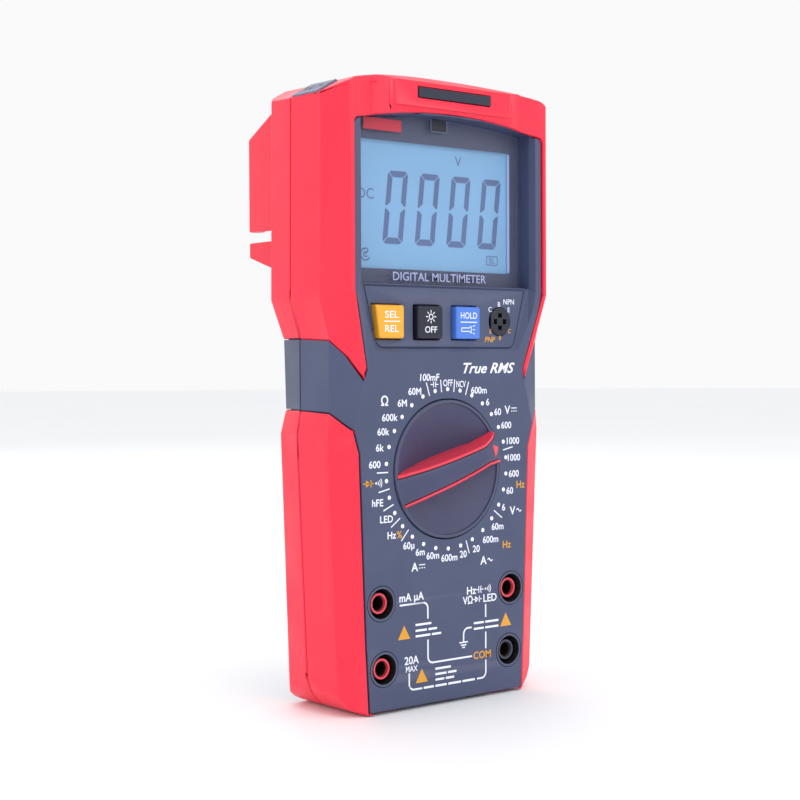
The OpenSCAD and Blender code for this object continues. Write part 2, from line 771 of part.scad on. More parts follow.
module switch_rotor() color("#ddd8c8") in_frame() at_dial() difference() {
    y_cylinder(rotor_r, rotor_y, rotor_y + rotor_t);
    y_cylinder(spigot_r + seat, 0, far);
    both_sides() translate([rotor_r - 6, rotor_y + rotor_t / 2, 0]) rotate([0, 90, 0])
        cylinder(r = detent_r + seat, h = far);
}

module rotor_wipers() color("#c9a24a") in_frame() at_dial()
    for (a = [40, 160, 280]) rotate([0, a, 0]) for (r = [8.5, 11.5, 14.5])
        y_box(-2.6, 2.6, rotor_y + rotor_t + seat, rotor_y + rotor_t + 0.35, r - 0.5, r + 0.5);

module rotor_screw() color("silver") in_frame() at_dial() {
    y_cylinder(spigot_r - 0.4, rotor_y + rotor_t + seat, board_y + 0.9);
    y_cylinder(shank_r, knob_back_y, rotor_y + rotor_t + 0.1);
}

module detent_ring() color("#e4dfd0") in_frame() translate([0, 0, dial_z]) difference() {
    y_cylinder(rotor_r + 2.2, well_floor_y + well_floor_t + seat, rotor_y + rotor_t - 0.3);
    y_cylinder(rotor_r + 0.6, 0, far);
    for (i = [0:positions - 1]) rotate([0, i * 360 / positions, 0])
        y_cylinder(0.5, 0, far, rotor_r + 0.6, 0);
}

module detent_balls() color("silver") in_frame() at_dial() both_sides()
    translate([rotor_r - 0.6, rotor_y + rotor_t / 2, 0]) sphere(r = detent_r);

module detent_springs() color("silver") in_frame() at_dial() both_sides()
    translate([rotor_r - 5.9, rotor_y + rotor_t / 2, 0]) rotate([0, 90, 0]) difference() {
        cylinder(r = detent_r - 0.1, h = 4.3);
        translate([0, 0, -1]) cylinder(r = detent_r - 0.35, h = 7);
    }

// Sub-parts: keys and sockets

// The first key's outer side slants with the panel
module key_outline(i, g) {
    h = key_w / 2 + g;
    slant = i == 0 ? key_slant : 0;
    translate([key_x[i], key_z]) polygon([[-h - slant, h], [-h + slant / 2, -h], [h, -h], [h, h]]);
}

module key(i) in_frame() {
    y_plate(-key_h, flange_y + flange_t) key_outline(i, 0);
    translate([key_x[i], 0, key_z]) {
        y_box(-flange_w / 2, flange_w / 2, flange_y, flange_y + flange_t, -flange_w / 2 + 0.6, flange_w / 2 - 0.6);
        y_cylinder(2, flange_y, plunger_end_y);
    }
}

module select_key() color("#f5b02a") key(0);
module backlight_key() color("#2b2e38") key(1);
module hold_key() color("#4a7de6") key(2);

module key_zone(g) {
    corner_x = lens_half - 8.5;
    corner_z = window_z - 15.1;
    right = concat(
        [[lens_half - 1.6 + g, window_z - 0.6 + g]],
        arc(corner_x, corner_z, 3 + g, -14.7, -90, 5)
    );
    polygon(concat(right, mirrored(right)));
}

module keypad_membrane() color("#c8c8c8") in_frame() {
    y_box(key_x[0] - 6.2, key_x[2] + 6.2, board_y - 0.7, board_y - seat, key_z - 6, key_z + 6);
    for (x = key_x) y_cylinder(2.8, dome_y, board_y - 0.5, x, key_z);
}

module transistor_socket() color("#4a5068") in_frame() difference() {
    intersection() {
        y_cylinder(4.2, -0.3, board_y - seat, socket_x, socket_z);
        y_box(socket_x - 3.7, socket_x + 3.7, -far, far, socket_z - far, socket_z + far);
    }
    for (a = [0:90:270]) translate([socket_x, 0, socket_z]) rotate([0, a, 0])
        y_box(-0.75, 0.75, -far, board_y - 2, 1.2, 2.5);
}

module transistor_contacts() color("#c9a24a") in_frame()
    for (a = [0:90:270]) translate([socket_x, 0, socket_z]) rotate([0, a, 0])
        y_box(-0.4, 0.4, 4, board_y - 2.1, 1.9, 2.3);

module jack_block() color("#17181d") in_frame() difference() {
    union() {
        for (p = all_jacks) y_cylinder(tower_r, 0.1, board_y - 0.1, p[0], p[1]);
        y_box(-jack_low_x, jack_low_x, block_plate_y, board_y - 0.1, board_low_z + 1, jack_high_z + 3.4);
    }
    for (p = all_jacks) {
        y_cylinder(shroud_r, -far, block_plate_y, p[0], p[1]);
        y_cylinder(sleeve_r + seat, 0, far, p[0], p[1]);
    }
}

module sleeve(p) difference() {
    y_cylinder(sleeve_r, sleeve_y, board_y - 0.1, p[0], p[1]);
    y_cylinder(jack_bore_r + contact_wall + seat, 0, far, p[0], p[1]);
}

module live_sleeves() color("#e8384c") in_frame() for (p = live_jacks) sleeve(p);
module common_sleeve() color("#3c4152") in_frame() sleeve(common_jack);

module jack_contacts() color("#c9b26a") in_frame() for (p = all_jacks) difference() {
    y_cylinder(jack_bore_r + contact_wall, contact_y, contact_y + jack_bore_l + 0.6, p[0], p[1]);
    y_cylinder(jack_bore_r, 0, contact_y + jack_bore_l, p[0], p[1]);
}

// Sub-parts: electronics

module main_board() color("#2f7a4c") in_frame() difference() {
    y_plate(board_y, board_back_y) polygon([
        [-board_neck_half, board_low_z], [board_neck_half, board_low_z],
        [board_neck_half, board_neck_z], [board_half, board_neck_z + 4],
        [board_half, board_top_z], [tongue_half, board_top_z], [tongue_half, body_h - 5.5],
        [-tongue_half, body_h - 5.5], [-tongue_half, board_top_z], [-board_half, board_top_z],
        [-board_half, board_neck_z + 4], [-board_neck_half, board_neck_z]
    ]);
    for (p = all_jacks) y_cylinder(jack_bore_r + contact_wall + 0.1, 0, far, p[0], p[1]);
    for (p = board_posts) y_cylinder(1.1, 0, far, p[0], p[1]);
    y_cylinder(spigot_r + 0.4, 0, far, 0, dial_z);
}

module on_board(x, z) translate([x, board_back_y + 0.1, z]) children();

module measuring_chip() color("#1d1e22") in_frame()
    on_board(0, tub_high_z - 12) translate([-6, 0, -6]) cube([12, 1.4, 12]);

module surge_varistors() color("#2c6fb5") in_frame()
    for (x = [13, 20]) on_board(x, waist_high_z) translate([0, 5.2, 0]) rotate([0, 90, 0]) cylinder(r = 5, h = 3.8);

module input_thermistor() color("#c98a2e") in_frame()
    on_board(26.5, waist_high_z) translate([0, 4.2, 0]) rotate([0, 90, 0]) cylinder(r = 4, h = 3.2);

module filter_capacitor() color("#20242c") in_frame()
    on_board(5, waist_high_z) y_cylinder(3.2, 0, 9);

module buzzer() color("#26282e") in_frame() difference() {
    on_board(buzzer_x, buzzer_z) y_cylinder(8, 0, 6.5);
    on_board(buzzer_x, buzzer_z) y_cylinder(1.2, 3, 9);
}

module current_shunt() color("#b88a58") in_frame() on_board(0, jack_z - 2.5) {
    both_sides() y_cylinder(0.8, 0, 5, 7, 0);
    translate([0, 5, 0]) rotate_extrude(angle = 180) translate([7, 0]) circle(0.8);
}

module fuse_body(r, l, y, z)
    translate([-l / 2, board_back_y + y, z]) rotate([0, 90, 0]) cylinder(r = r, h = l);

fuse_low_z = jack_z + 6;
fuse_high_z = jack_high_z - 1;
small_fuse_r = 2.6;
large_fuse_r = 3.2;

module small_fuse() color("#e6e6e0") in_frame() fuse_body(small_fuse_r, 20, 5, fuse_low_z);
module large_fuse() color("#efece2") in_frame() fuse_body(large_fuse_r, 32, 5.6, fuse_high_z);

module fuse_clip(r, x, y, z)
    translate([x, board_back_y, z]) difference() {
        y_box(-2, 2, 0.1, y + r, -r - 0.7, r + 0.7);
        translate([-far / 2, y, 0]) rotate([0, 90, 0]) cylinder(r = r + seat, h = far);
        y_box(-far, far, y, far, -r - seat, r + seat);
    }

module fuse_clips() color("silver") in_frame() both_sides() {
    fuse_clip(small_fuse_r, 7.5, 5, fuse_low_z);
    fuse_clip(large_fuse_r, 13, 5.6, fuse_high_z);
}

module sensing_plate() color("#c9b26a") in_frame()
    y_box(-half_w + 10, -17, board_y + 0.4, board_y + 0.9, board_top_z + 0.2, board_top_z + 6);

front_case();
hood_bumper();
lower_bumper_left();
lower_bumper_right();
rear_case();
rear_top_bumper();
rear_bumper_left();
rear_bumper_right();
probe_clip_left();
probe_clip_right();
shoulder_plate();
signal_window();
display_lens();
display_bezel();
lcd_glass();
lcd_backlight();
zebra_strips();
light_sensor();
signal_leds();
selector_knob();
knob_trims();
knob_pointer();
switch_rotor();
rotor_wipers();
rotor_screw();
detent_ring();
detent_balls();
detent_springs();
select_key();
backlight_key();
hold_key();
keypad_membrane();
transistor_socket();
transistor_contacts();
jack_block();
live_sleeves();
common_sleeve();
jack_contacts();
main_board();
board_screws();
measuring_chip();
surge_varistors();
input_thermistor();
filter_capacitor();
current_shunt();
small_fuse();
large_fuse();
fuse_clips();
buzzer();
sensing_plate();
torch_led();
torch_lens();
battery_cells();
battery_contacts();
battery_door();
door_screws();
tilt_stand();
case_screws();
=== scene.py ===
"""A handheld digital multimeter: every shown piece of it, its finishes, and the studio round it.

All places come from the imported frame. The maker's own sizes are in millimetres on the panel:
x to the right, z up from the base, and y from the front panel towards the back.
"""
import json
import logging
import math
import sys
from dataclasses import dataclass, field
from enum import Enum
from functools import cache
from typing import Callable, Iterable, Optional, Sequence

import bmesh
import bpy
from mathutils import Matrix, Vector


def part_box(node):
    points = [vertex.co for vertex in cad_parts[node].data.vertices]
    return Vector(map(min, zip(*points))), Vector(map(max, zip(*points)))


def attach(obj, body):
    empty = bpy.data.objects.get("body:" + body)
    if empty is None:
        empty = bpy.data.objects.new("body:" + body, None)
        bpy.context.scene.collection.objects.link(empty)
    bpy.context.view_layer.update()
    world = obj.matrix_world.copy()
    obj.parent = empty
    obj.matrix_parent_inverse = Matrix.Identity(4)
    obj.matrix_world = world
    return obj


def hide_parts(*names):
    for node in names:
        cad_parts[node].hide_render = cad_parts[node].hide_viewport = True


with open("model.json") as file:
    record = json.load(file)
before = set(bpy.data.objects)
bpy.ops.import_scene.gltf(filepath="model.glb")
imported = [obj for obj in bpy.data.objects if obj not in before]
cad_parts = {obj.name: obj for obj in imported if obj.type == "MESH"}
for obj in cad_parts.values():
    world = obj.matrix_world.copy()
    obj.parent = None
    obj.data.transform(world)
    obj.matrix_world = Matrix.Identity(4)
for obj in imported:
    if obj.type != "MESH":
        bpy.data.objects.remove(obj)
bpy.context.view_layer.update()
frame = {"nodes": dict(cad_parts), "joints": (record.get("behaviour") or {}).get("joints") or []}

LOG = logging.getLogger("multimeter")
MM = 0.001
Point = tuple[float, float]


class Body(Enum):
    """The rigid bodies of the meter, by the names the frame gives them."""

    CASE = "body"
    SELECTOR = "selector"
    SELECT = "select_button"
    BACKLIGHT = "backlight_button"
    HOLD = "hold_button"
    STAND = "stand"


class Side(Enum):
    """Left and right as the user sees the front."""

    LEFT = -1
    RIGHT = 1


class Grain(Enum):
    """How a surface's fine relief is made."""

    SPARK = "spark-eroded mould"
    SATIN = "polished mould"
    BRUSHED = "drawn metal"


def panel_plane() -> float:
    """The y of the front panel in the frame, from the selector's axis."""
    for joint in frame["joints"]:
        if joint["name"] == "selector_turn":
            return joint["pos_m"][1]
    raise RuntimeError("the frame has no selector joint")


PANEL_Y = panel_plane()


def at(x: float, y: float, z: float) -> Vector:
    """A point given in panel millimetres, in the frame's metres."""
    return Vector((x * MM, PANEL_Y + y * MM, z * MM))


def linear(rgb: Sequence[float]) -> tuple[float, float, float, float]:
    """Scene-linear colour of a display colour.

    Args:
        rgb: Red, green and blue from 0 to 255.

    Returns:
        The four channels that a shader socket takes.
    """
    channels = [c / 255 for c in rgb]
    lin = [c / 12.92 if c <= 0.04045 else ((c + 0.055) / 1.055) ** 2.4 for c in channels]
    return (lin[0], lin[1], lin[2], 1.0)


# Finishes


@dataclass(frozen=True)
class Finish:
    """One finish, made as a node material.

    Colour wanders by mottle over mottle_mm, roughness by its spread, and the relief has the
    grain's size and depth. Paler convex edges, a painted highlight, come from the edge weight.
    """

    name: str
    rgb: tuple[float, float, float]
    roughness: float = 0.5
    spread: float = 0.08
    mottle: float = 0.06
    mottle_mm: float = 18.0
    grain: Grain = Grain.SPARK
    grain_mm: float = 0.35
    grain_depth_mm: float = 0.02
    # Weight of the painted edge highlight: a paler tint on convex edges.
    edge_highlight: float = 0.0
    metallic: float = 0.0
    coat: float = 0.0
    alpha: float = 1.0
    # Painted glow: emission that brightens a part which is no lamp.
    painted_glow: float = 0.0
    specular: float = 0.5
    soft: float = 0.0

    def make(self) -> bpy.types.Material:
        """Builds the material once and returns it from then on."""
        known = bpy.data.materials.get(self.name)
        if known:
            return known
        mat = bpy.data.materials.new(self.name)
        mat.use_nodes = True
        tree = mat.node_tree
        shader = next(n for n in tree.nodes if n.type == "BSDF_PRINCIPLED")
        place = tree.nodes.new("ShaderNodeTexCoord").outputs["Object"]
        if self.grain is Grain.BRUSHED:
            mapping = tree.nodes.new("ShaderNodeMapping")
            mapping.inputs["Scale"].default_value = (0.08, 0.08, 1.0)
            tree.links.new(place, mapping.inputs["Vector"])
            fine_place = mapping.outputs["Vector"]
        else:
            fine_place = place
        self._dress_colour(tree, shader, place)
        self._dress_surface(tree, shader, fine_place)
        shader.inputs["Metallic"].default_value = self.metallic
        shader.inputs["Coat Weight"].default_value = self.coat
        shader.inputs["Coat Roughness"].default_value = 0.12
        shader.inputs["Specular IOR Level"].default_value = self.specular
        shader.inputs["Alpha"].default_value = self.alpha
        if self.soft:
            shader.inputs["Subsurface Weight"].default_value = self.soft
            shader.inputs["Subsurface Radius"].default_value = (1.0, 0.25, 0.2)
            shader.inputs["Subsurface Scale"].default_value = 1.2 * MM
        # Painted glow: the finish's own colour emitted, as if the part were lit.
        if self.painted_glow:
            shader.inputs["Emission Strength"].default_value = self.painted_glow
            shader.inputs["Emission Color"].default_value = linear(self.rgb)
        return mat

    def _noise(
        self, tree: bpy.types.NodeTree, place: bpy.types.NodeSocket, size_mm: float, detail: float
    ) -> bpy.types.Node:
        """A noise whose features are about size_mm across."""
        noise = tree.nodes.new("ShaderNodeTexNoise")
        noise.inputs["Scale"].default_value = 1000.0 / size_mm
        noise.inputs["Detail"].default_value = detail
        tree.links.new(place, noise.inputs["Vector"])
        return noise

    def _dress_colour(self, tree: bpy.types.NodeTree, shader: bpy.types.Node, place: bpy.types.NodeSocket) -> None:
        """Wandering colour, and the paler tint of convex edges that paints a highlight on them."""
        base = linear(self.rgb)
        noise = self._noise(tree, place, self.mottle_mm, 3.0)
        ramp = tree.nodes.new("ShaderNodeValToRGB")
        ramp.color_ramp.elements[0].position = 0.3
        ramp.color_ramp.elements[1].position = 0.7
        ramp.color_ramp.elements[0].color = tuple(c * (1 - self.mottle) for c in base[:3]) + (1.0,)
        ramp.color_ramp.elements[1].color = tuple(min(1.0, c * (1 + self.mottle)) for c in base[:3]) + (1.0,)
        tree.links.new(noise.outputs["Fac"], ramp.inputs["Fac"])
        colour = ramp.outputs["Color"]
        # Painted edge highlight: convex edges, found by pointiness, blend towards a pale tint.
        if self.edge_highlight:
            edge = tree.nodes.new("ShaderNodeValToRGB")
            edge.color_ramp.elements[0].position = 0.515
            edge.color_ramp.elements[1].position = 0.58
            geometry = tree.nodes.new("ShaderNodeNewGeometry")
            tree.links.new(geometry.outputs["Pointiness"], edge.inputs["Fac"])
            blend = tree.nodes.new("ShaderNodeMix")
            blend.data_type = "RGBA"
            scale = tree.nodes.new("ShaderNodeMath")
            scale.operation = "MULTIPLY"
            scale.inputs[1].default_value = self.edge_highlight
            tree.links.new(edge.outputs["Color"], scale.inputs[0])
            tree.links.new(scale.outputs[0], blend.inputs["Factor"])
            tree.links.new(colour, blend.inputs["A"])
            blend.inputs["B"].default_value = tuple(0.45 + 0.55 * c for c in base[:3]) + (1.0,)
            colour = blend.outputs["Result"]
        tree.links.new(colour, shader.inputs["Base Color"])

    def _dress_surface(self, tree: bpy.types.NodeTree, shader: bpy.types.Node, place: bpy.types.NodeSocket) -> None:
        """Roughness and fine relief."""
        grain = self._noise(tree, place, self.grain_mm, 2.0)
        worn = self._noise(tree, place, self.mottle_mm * 0.6, 4.0)
        span = tree.nodes.new("ShaderNodeMapRange")
        span.inputs["From Min"].default_value = 0.3
        span.inputs["From Max"].default_value = 0.7
        span.inputs["To Min"].default_value = max(0.02, self.roughness - self.spread)
        span.inputs["To Max"].default_value = min(1.0, self.roughness + self.spread)
        tree.links.new(worn.outputs["Fac"], span.inputs["Value"])
        tree.links.new(span.outputs["Result"], shader.inputs["Roughness"])
        if self.grain_depth_mm > 0:
            bump = tree.nodes.new("ShaderNodeBump")
            bump.inputs["Strength"].default_value = 0.6 if self.grain is Grain.SPARK else 0.35
            bump.inputs["Distance"].default_value = self.grain_depth_mm * MM
            tree.links.new(grain.outputs["Fac"], bump.inputs["Height"])
            tree.links.new(bump.outputs["Normal"], shader.inputs["Normal"])


@dataclass(frozen=True)
class Finishes:
    """The meter's finishes, by what they are on."""

    # The edge weights below paint paler highlights on the convex edges of each finish.
    shell: Finish = Finish("shell_blue_grey", (68, 77, 108), 0.5, edge_highlight=0.06)
    rear: Finish = Finish("rear_shell_grey", (66, 74, 104), 0.53, edge_highlight=0.05)
    bumper: Finish = Finish(
        "bumper_red", (240, 30, 62), 0.42, mottle=0.05, grain_mm=0.5, grain_depth_mm=0.015, edge_highlight=0.08, soft=0.05,
    )
    badge: Finish = Finish("badge_grey", (112, 120, 148), 0.5)
    signal: Finish = Finish(
        "signal_smoked", (22, 30, 52), 0.3, grain=Grain.SATIN, grain_mm=1.5, grain_depth_mm=0.004, coat=0.15,
    )
    lens: Finish = Finish(
        "lens_clear", (120, 130, 160), 0.06, 0.03,
        grain=Grain.SATIN, grain_mm=3.0, grain_depth_mm=0.002, alpha=0.12,
    )
    lens_print: Finish = Finish(
        "lens_print_grey", (72, 76, 102), 0.4, grain=Grain.SATIN, grain_mm=0.8, grain_depth_mm=0.003,
    )
    well: Finish = Finish("well_black", (30, 33, 48), 0.5)
    # The display's glow is painted light: the liquid crystal is no lamp, its emission brightens it.
    lcd: Finish = Finish(
        "lcd_pale_blue", (133, 184, 224), 0.35, mottle=0.05, mottle_mm=26.0,
        grain=Grain.SATIN, grain_mm=0.5, grain_depth_mm=0.002, painted_glow=0.22,
    )
    # A painted highlight: the bright glowing strip that stands for the glint on the display's right edge.
    lcd_glint: Finish = Finish("lcd_glint_painted", (190, 206, 240), 0.3, painted_glow=0.25)
    # The segments carry a faint painted glow.
    segment: Finish = Finish(
        "lcd_segment", (92, 116, 164), 0.4, mottle=0.05, grain=Grain.SATIN, grain_depth_mm=0.001, painted_glow=0.05,
    )
    diffuser: Finish = Finish("diffuser_white", (226, 228, 232), 0.6)
    knob: Finish = Finish("knob_grey", (62, 67, 100), 0.48, edge_highlight=0.06, grain_mm=0.4)
    trim: Finish = Finish("trim_red", (236, 10, 38), 0.4, mottle=0.05, edge_highlight=0.06)
    sleeve_red: Finish = Finish("sleeve_red", (236, 60, 84), 0.45, edge_highlight=0.15)
    sleeve_grey: Finish = Finish("sleeve_grey", (92, 96, 116), 0.45, edge_highlight=0.2)
    jack: Finish = Finish("jack_black", (12, 13, 18), 0.5, edge_highlight=0.03)
    acetal: Finish = Finish("acetal_cream", (224, 218, 200), 0.45)
    key_yellow: Finish = Finish("key_yellow", (236, 150, 10), 0.38, mottle=0.06, edge_highlight=0.12, grain_depth_mm=0.008)
    key_dark: Finish = Finish("key_black", (10, 16, 40), 0.42, edge_highlight=0.03, grain_depth_mm=0.008)
    key_blue: Finish = Finish("key_blue", (38, 88, 222), 0.38, mottle=0.06, edge_highlight=0.12, grain_depth_mm=0.008)
    silicone: Finish = Finish("silicone_grey", (200, 200, 204), 0.6)
    gilt: Finish = Finish("gilt_brass", (226, 190, 112), 0.28, metallic=1.0, grain=Grain.BRUSHED, grain_depth_mm=0.004)
    contact: Finish = Finish("contact_dull", (58, 50, 38), 0.5, metallic=0.8, grain=Grain.BRUSHED, grain_depth_mm=0.004)
    steel: Finish = Finish("zinc_steel", (186, 188, 196), 0.34, metallic=1.0, grain=Grain.BRUSHED, grain_depth_mm=0.005)
    board: Finish = Finish("board_green", (30, 104, 66), 0.4, mottle=0.18, mottle_mm=4.0, grain_mm=0.8)
    resin: Finish = Finish("resin_black", (30, 31, 34), 0.5)
    blue_coat: Finish = Finish("varistor_blue", (40, 96, 172), 0.35)
    amber_coat: Finish = Finish("thermistor_amber", (198, 132, 44), 0.4)
    shunt: Finish = Finish("shunt_alloy", (176, 134, 92), 0.4, metallic=1.0, grain=Grain.BRUSHED)
    ceramic: Finish = Finish("fuse_ceramic", (232, 228, 218), 0.45)
    cell: Finish = Finish("cell_sleeve", (60, 62, 70), 0.35, mottle=0.12, mottle_mm=10.0)
    clear: Finish = Finish(
        "torch_lens", (232, 238, 248), 0.08, 0.03,
        grain=Grain.SATIN, grain_mm=1.0, grain_depth_mm=0.004, alpha=0.5, coat=0.5,
    )
    # The white ink carries a faint painted glow.
    white_ink: Finish = Finish(
        "ink_white", (236, 240, 255), 0.5, mottle=0.03,
        grain=Grain.SATIN, grain_mm=0.3, grain_depth_mm=0.003, painted_glow=0.08,
    )
    title_ink: Finish = Finish(
        "ink_lilac", (176, 184, 226), 0.5, mottle=0.03, grain=Grain.SATIN, grain_mm=0.3, grain_depth_mm=0.003,
    )
    # The amber ink carries a faint painted glow.
    amber_ink: Finish = Finish(
        "ink_amber", (222, 158, 44), 0.5, mottle=0.05,
        grain=Grain.SATIN, grain_mm=0.3, grain_depth_mm=0.003, painted_glow=0.04,
    )
    dark_ink: Finish = Finish("ink_dark", (40, 42, 54), 0.5, grain=Grain.SATIN)
    plate_red: Finish = Finish("plate_red", (198, 52, 72), 0.4, grain=Grain.SATIN)
    floor: Finish = Finish(
        "floor_pale", (246, 247, 249), 0.6, 0.05, mottle=0.01, mottle_mm=300.0, grain_mm=2.0, grain_depth_mm=0.02,
    )


FINISH = Finishes()


# Meshes


def settle(bm: bmesh.types.BMesh, name: str, finish: Finish, crease: float = 32.0) -> bpy.types.Object:
    """Turns a mesh under construction into a dressed object at the origin.

    Args:
        bm: The mesh, in the frame's metres. It is freed.
        name: The piece's name.
        finish: Its finish.
        crease: Edges sharper than this many degrees stay crisp.

    Returns:
        The new object.
    """
    bmesh.ops.remove_doubles(bm, verts=bm.verts, dist=1e-7)
    bmesh.ops.recalc_face_normals(bm, faces=bm.faces)
    mesh = bpy.data.meshes.new(name)
    bm.to_mesh(mesh)
    bm.free()
    return put_on_stage(mesh, name, finish, crease)


def put_on_stage(mesh: bpy.types.Mesh, name: str, finish: Finish, crease: float = 32.0) -> bpy.types.Object:
    """Links a mesh as an object with one finish and smooth shading up to the crease angle."""
    mesh.materials.clear()
    mesh.materials.append(finish.make())
    for polygon in mesh.polygons:
        polygon.use_smooth = True
        polygon.material_index = 0
    mesh.set_sharp_from_angle(angle=math.radians(crease))
    piece = bpy.data.objects.new(name, mesh)
    bpy.context.scene.collection.objects.link(piece)
    return piece


def hand_over(piece: bpy.types.Object, body: Body, replaces: Sequence[str] = ()) -> bpy.types.Object:
    """Hides the nodes a finished piece stands for, and hangs it on the body it rides on."""
    if replaces:
        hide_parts(*replaces)
    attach(piece, body.value)
    faces = sum(len(p.vertices) - 2 for p in piece.data.polygons) if piece.type == "MESH" else 0
    LOG.info("%s: %d triangles on %s", piece.name, faces, body.value)
    return piece


def evaluated_mesh(piece: bpy.types.Object, name: str) -> bpy.types.Mesh:
    """The piece's mesh with its modifiers applied, as a mesh of its own."""
    graph = bpy.context.evaluated_depsgraph_get()
    mesh = bpy.data.meshes.new_from_object(piece.evaluated_get(graph), depsgraph=graph)
    mesh.name = name
    return mesh


def prism(bm: bmesh.types.BMesh, outline: Sequence[Point], y0: float, y1: float) -> None:
    """Adds a closed plate with an outline on the panel, from y0 to y1 (mm)."""
    front = [bm.verts.new(at(x, y0, z)) for x, z in outline]
    back = [bm.verts.new(at(x, y1, z)) for x, z in outline]
    bm.faces.new(front)
    bm.faces.new(list(reversed(back)))
    count = len(outline)
    for i in range(count):
        j = (i + 1) % count
        bm.faces.new((front[j], front[i], back[i], back[j]))


def skin(bm: bmesh.types.BMesh, rings: Sequence[Sequence[bmesh.types.BMVert]]) -> None:
    """Joins each closed ring of vertices to the next, ring by ring."""
    for a_ring, b_ring in zip(rings, rings[1:]):
        count = len(a_ring)
        for k in range(count):
            m = (k + 1) % count
            bm.faces.new((a_ring[k], a_ring[m], b_ring[m], b_ring[k]))


def ring_band(bm: bmesh.types.BMesh, outer: Sequence[Point], inner: Sequence[Point], y0: float, y1: float) -> None:
    """Adds a flat closed frame between two outlines with the same number of points."""
    count = len(outer)
    fo = [bm.verts.new(at(x, y0, z)) for x, z in outer]
    fi = [bm.verts.new(at(x, y0, z)) for x, z in inner]
    bo = [bm.verts.new(at(x, y1, z)) for x, z in outer]
    bi = [bm.verts.new(at(x, y1, z)) for x, z in inner]
    for i in range(count):
        j = (i + 1) % count
        bm.faces.new((fo[i], fo[j], fi[j], fi[i]))
        bm.faces.new((bo[j], bo[i], bi[i], bi[j]))
        bm.faces.new((fo[j], fo[i], bo[i], bo[j]))
        bm.faces.new((fi[i], fi[j], bi[j], bi[i]))


def lathe(bm: bmesh.types.BMesh, profile: Sequence[Point], x: float, z: float, steps: int = 48) -> None:
    """Adds a turned body about a line through (x, z) along y.

    Args:
        bm: The mesh to add to.
        profile: Radius and y (mm) along a closed outline, or from the axis to the axis.
        x: The axis on the panel.
        z: The axis on the panel.
        steps: Facets round it.
    """
    rings = []
    for radius, y in profile:
        if radius < 1e-6:
            rings.append([bm.verts.new(at(x, y, z))])
            continue
        ring = []
        for k in range(steps):
            a = 2 * math.pi * k / steps
            ring.append(bm.verts.new(at(x + radius * math.cos(a), y, z + radius * math.sin(a))))
        rings.append(ring)
    pairs = list(zip(rings, rings[1:]))
    if len(rings[0]) > 1 and len(rings[-1]) > 1:
        pairs.append((rings[-1], rings[0]))
    for a_ring, b_ring in pairs:
        for k in range(steps):
            m = (k + 1) % steps
            if len(a_ring) == 1 and len(b_ring) == 1:
                break
            if len(a_ring) == 1:
                bm.faces.new((a_ring[0], b_ring[k], b_ring[m]))
            elif len(b_ring) == 1:
                bm.faces.new((a_ring[k], b_ring[0], a_ring[m]))
            else:
                bm.faces.new((a_ring[k], b_ring[k], b_ring[m], a_ring[m]))


def arc(cx: float, cz: float, radius: float, start: float, end: float, steps: int) -> list[Point]:
    """Points along an arc on the panel, angles in degrees from +x."""
    return [
        (
            cx + radius * math.cos(math.radians(start + (end - start) * k / steps)),
            cz + radius * math.sin(math.radians(start + (end - start) * k / steps)),
        )
        for k in range(steps + 1)
    ]


def rounded_rectangle(x0: float, x1: float, z0: float, z1: float, r: float, steps: int = 6) -> list[Point]:
    """An upright rectangle with rounded corners."""
    return (
        arc(x1 - r, z1 - r, r, 90, 0, steps)
        + arc(x1 - r, z0 + r, r, 0, -90, steps)
        + arc(x0 + r, z0 + r, r, -90, -180, steps)
        + arc(x0 + r, z1 - r, r, 180, 90, steps)
    )


def ribbon(bm: bmesh.types.BMesh, path: Sequence[Point], width: float, y0: float, y1: float) -> None:
    """Adds a printed line of one width along a path on the panel."""
    left, right = [], []
    for i, (x, z) in enumerate(path):
        before = path[max(i - 1, 0)]
        after = path[min(i + 1, len(path) - 1)]
        run = Vector((after[0] - before[0], after[1] - before[1])).normalized()
        left.append((x - run.y * width / 2, z + run.x * width / 2))
        right.append((x + run.y * width / 2, z - run.x * width / 2))
    for i in range(len(path) - 1):
        prism(bm, [left[i], left[i + 1], right[i + 1], right[i]], y0, y1)


